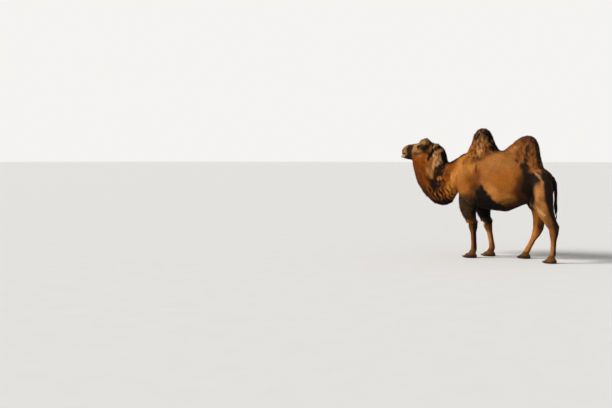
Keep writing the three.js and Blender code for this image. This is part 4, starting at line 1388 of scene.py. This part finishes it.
class Shader:
    """A node material, built up link by link."""

    def __init__(self, name, **fixed):
        self.material = bpy.data.materials.new(name)
        self.material.use_nodes = True
        self.tree = self.material.node_tree
        self.surface = self.tree.nodes["Principled BSDF"]
        for socket, value in fixed.items():
            self.surface.inputs[socket.replace("_", " ")].default_value = value

    def node(self, kind, fixed=(), **settings):
        """A node with values set on its sockets and settings on itself."""
        made = self.tree.nodes.new("ShaderNode" + kind)
        for name, value in settings.items():
            setattr(made, name, value)
        for socket, value in dict(fixed).items():
            made.inputs[socket].default_value = value
        return made

    def join(self, source, target):
        self.tree.links.new(source, target)

    def noise(self, where, scale, detail=2.0, stretch=(1, 1, 1)):
        """Noise from 0 to 1 on a vector, finer along the axes with a bigger stretch."""
        mapping = self.node("Mapping", {"Scale": stretch})
        self.join(where, mapping.inputs["Vector"])
        noise = self.node("TexNoise", {"Scale": scale, "Detail": detail})
        self.join(mapping.outputs[0], noise.inputs["Vector"])
        return noise.outputs["Fac"]

    def spread(self, value, low, high):
        """Noise, from its usual darkest to its usual lightest, spread from low to high."""
        spread = self.node(
            "MapRange", {"From Min": 0.3, "From Max": 0.7, "To Min": low, "To Max": high})
        self.join(value, spread.inputs["Value"])
        return spread.outputs["Result"]

    def ramp(self, value, *stops):
        """A value as a colour between two, each with its place."""
        mix = self.node("ValToRGB")
        for element, (code, position) in zip(mix.color_ramp.elements, stops):
            element.color = (*linear(code), 1)
            element.position = position
        self.join(value, mix.inputs["Fac"])
        return mix.outputs["Color"]

    def bump(self, height, strength, distance):
        bump = self.node("Bump", {"Strength": strength, "Distance": distance})
        self.join(height, bump.inputs["Height"])
        self.join(bump.outputs[0], self.surface.inputs["Normal"])

    def painted(self):
        return self.node("Attribute", attribute_name="Coat").outputs["Color"]

    def place(self):
        return self.node("TexCoord").outputs["Object"]

    def made(self, colour, shades, rough):
        """The material, once its colour, the shades over that and its roughness are set."""
        for shade in shades:
            scaled = self.node("VectorMath", operation="SCALE")
            self.join(colour, scaled.inputs[0])
            self.join(self.spread(*shade), scaled.inputs["Scale"])
            colour = scaled.outputs[0]
        self.join(colour, self.surface.inputs["Base Color"])
        self.join(self.spread(*rough), self.surface.inputs["Roughness"])
        return self.material


FUR = dict(Specular_IOR_Level=0.08, Sheen_Weight=0.02, Sheen_Roughness=0.5)


def lock_material():
    """Locks of hair with fine strands along them."""
    shader = Shader("coat hair", **FUR)
    along = shader.node("UVMap", uv_map="Strand").outputs[0]
    strands = shader.noise(along, 5.0, stretch=(1.0, 0.07, 1.0))
    patches = shader.noise(shader.place(), 38.0)
    shader.bump(strands, 0.5, 1.0 * MM)
    shades = ((strands, 0.62, 1.30), (patches, 0.86, 1.12))
    return shader.made(shader.painted(), shades, (strands, 0.85, 0.60))


def skin_material():
    """Short flat fur between the locks."""
    shader = Shader("short fur", **FUR)
    fine = shader.noise(shader.place(), 420.0, stretch=(1.0, 0.45, 0.30))
    broad = shader.noise(shader.place(), 60.0, detail=3.0)
    shader.bump(fine, 0.6, 1.2 * MM)
    shades = ((fine, 0.66, 1.0), (broad, 0.85, 1.10))
    return shader.made(shader.painted(), shades, (broad, 0.95, 0.75))


def eye_material():
    """A wet dark eye."""
    shader = Shader("eye", Specular_IOR_Level=0.4)
    flecks = shader.noise(shader.place(), 900.0)
    return shader.made(shader.painted(), ((flecks, 0.75, 1.2),), (flecks, 0.06, 0.14))


def horn_material():
    """Dull horn, in growth rings that run across the nail."""
    shader = Shader("nail horn", Specular_IOR_Level=0.4)
    rings = shader.noise(shader.place(), 60.0, stretch=(0.3, 2.2, 2.2))
    grit = shader.noise(shader.place(), 500.0)
    shader.bump(rings, 0.3, 1.0 * MM)
    horn = shader.ramp(rings, ("2a231e", 0.32), ("6f6254", 0.72))
    return shader.made(horn, ((grit, 0.8, 1.15),), (grit, 0.38, 0.62))


# ---------- eyes and nails ----------

CORNEA = 1.3 * MM


def make_eye(label, side, material):
    """An eyeball with a bulging cornea, a dark brown iris and a wide flat pupil."""
    work = bmesh.new()
    bmesh.ops.create_uvsphere(work, u_segments=72, v_segments=48, radius=1)
    mesh = as_mesh(work, f"eyeball_{label}")
    ball = Net(mesh).points
    across, high, facing = ball.T
    out, front, up = eye_axes(side)
    off_axis = np.arccos(np.clip(facing, -1, 1))
    radius = EYE_RADIUS + CORNEA * rise(off_axis, 0.62, 0.30)
    moved(mesh, eye_centre(side) + (ball @ np.stack([front, up, out])) * radius[:, None])
    paint = Paint(np.tile(linear("6a4a38"), (len(ball), 1)))
    paint.lay("2a1a12", rise(off_axis, 1.0, 0.75))
    iris = rise(off_axis, 0.64, 0.58)
    paint.lay("3d2110", iris)
    spokes = 0.5 + 0.5 * np.sin(40 * np.arctan2(high, across))
    paint.lay("5a3216", 0.35 * iris * spokes)
    pupil = np.hypot(across / 0.36, high / 0.20)
    paint.lay("050403", rise(pupil, 1.08, 0.92) * (facing > 0))
    add_colour(mesh, paint.colour)
    finished(mesh, material)
    eye = placed(f"eyeball_{label}", mesh)
    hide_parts(f"eye_{label}")
    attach(eye, "root")


def make_nail(node, material):
    """The nail's own solid, rounded and drawn to a blunt point."""
    work = bmesh.new()
    work.from_mesh(NODES[node].data)
    bmesh.ops.remove_doubles(work, verts=work.verts, dist=WELD)
    mesh = as_mesh(work, f"horn_{node}")
    finished(mesh, material)
    nail = placed(f"horn_{node}", mesh)
    rounder = nail.modifiers.new("round", "SUBSURF")
    rounder.levels = rounder.render_levels = 2
    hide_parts(node)
    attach(nail, "root")


# ---------- floor and light ----------

FLOOR_REACH = 600.0


def make_floor():
    bpy.ops.mesh.primitive_plane_add(size=2 * FLOOR_REACH)
    floor = bpy.context.object
    floor.name = "floor"
    shader = Shader("pale floor", Specular_IOR_Level=0.1)
    speckle = shader.noise(shader.place(), 3.0)
    pale = shader.ramp(speckle, ("eae8e5", 0), ("f0eeeb", 1))
    floor.data.materials.append(shader.made(pale, (), (speckle, 0.8, 0.9)))


KEY_FROM = Vector((0.62, -0.72, 0.62))      # from ahead of the animal, on the camera's side
KEY_STRENGTH = 3.3
KEY_SPREAD = math.radians(20)
FILL_STRENGTH = 0.33


def make_light():
    key = placed("key", bpy.data.lights.new("key", "SUN"))
    key.data.energy = KEY_STRENGTH
    key.data.angle = KEY_SPREAD
    key.rotation_euler = look_along(-KEY_FROM)
    world = bpy.data.worlds.new("studio")
    bpy.context.scene.world = world
    world.use_nodes = True
    nodes, join = world.node_tree.nodes, world.node_tree.links.new
    fill = nodes["Background"]
    fill.inputs["Color"].default_value = (1, 1, 1, 1)
    fill.inputs["Strength"].default_value = FILL_STRENGTH
    backdrop = nodes.new("ShaderNodeBackground")
    backdrop.inputs["Color"].default_value = (*linear("f4f3f1"), 1)
    rays = nodes.new("ShaderNodeLightPath")
    seen = rays.outputs["Is Camera Ray"]
    for name in ("Is Glossy Ray", "Is Transmission Ray"):
        either = nodes.new("ShaderNodeMath")
        either.operation = "MAXIMUM"
        join(seen, either.inputs[0])
        join(rays.outputs[name], either.inputs[1])
        seen = either.outputs[0]
    mix = nodes.new("ShaderNodeMixShader")
    join(seen, mix.inputs["Fac"])
    join(fill.outputs[0], mix.inputs[1])
    join(backdrop.outputs[0], mix.inputs[2])
    join(mix.outputs[0], nodes["World Output"].inputs["Surface"])


# ---------- the model ----------

make_camera()
make_light()
make_floor()
bpy.context.scene.view_settings.view_transform = "Standard"

skin_mesh, skin_net, growth, skin_node = make_skin()
colour = coat_colour(skin_net, growth)
add_colour(skin_mesh, colour)
finished(skin_mesh, skin_material())
skin = placed("skin", skin_mesh)
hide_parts(*FLESH)
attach(skin, "root")

make_coat(skin_net, skin_node, growth, colour, lock_material())
eyes = eye_material()
for label, side in (("left", 1), ("right", -1)):
    make_eye(label, side, eyes)
horn = horn_material()
for name in SEPARATE:
    if "_nail" in name:
        make_nail(name, horn)
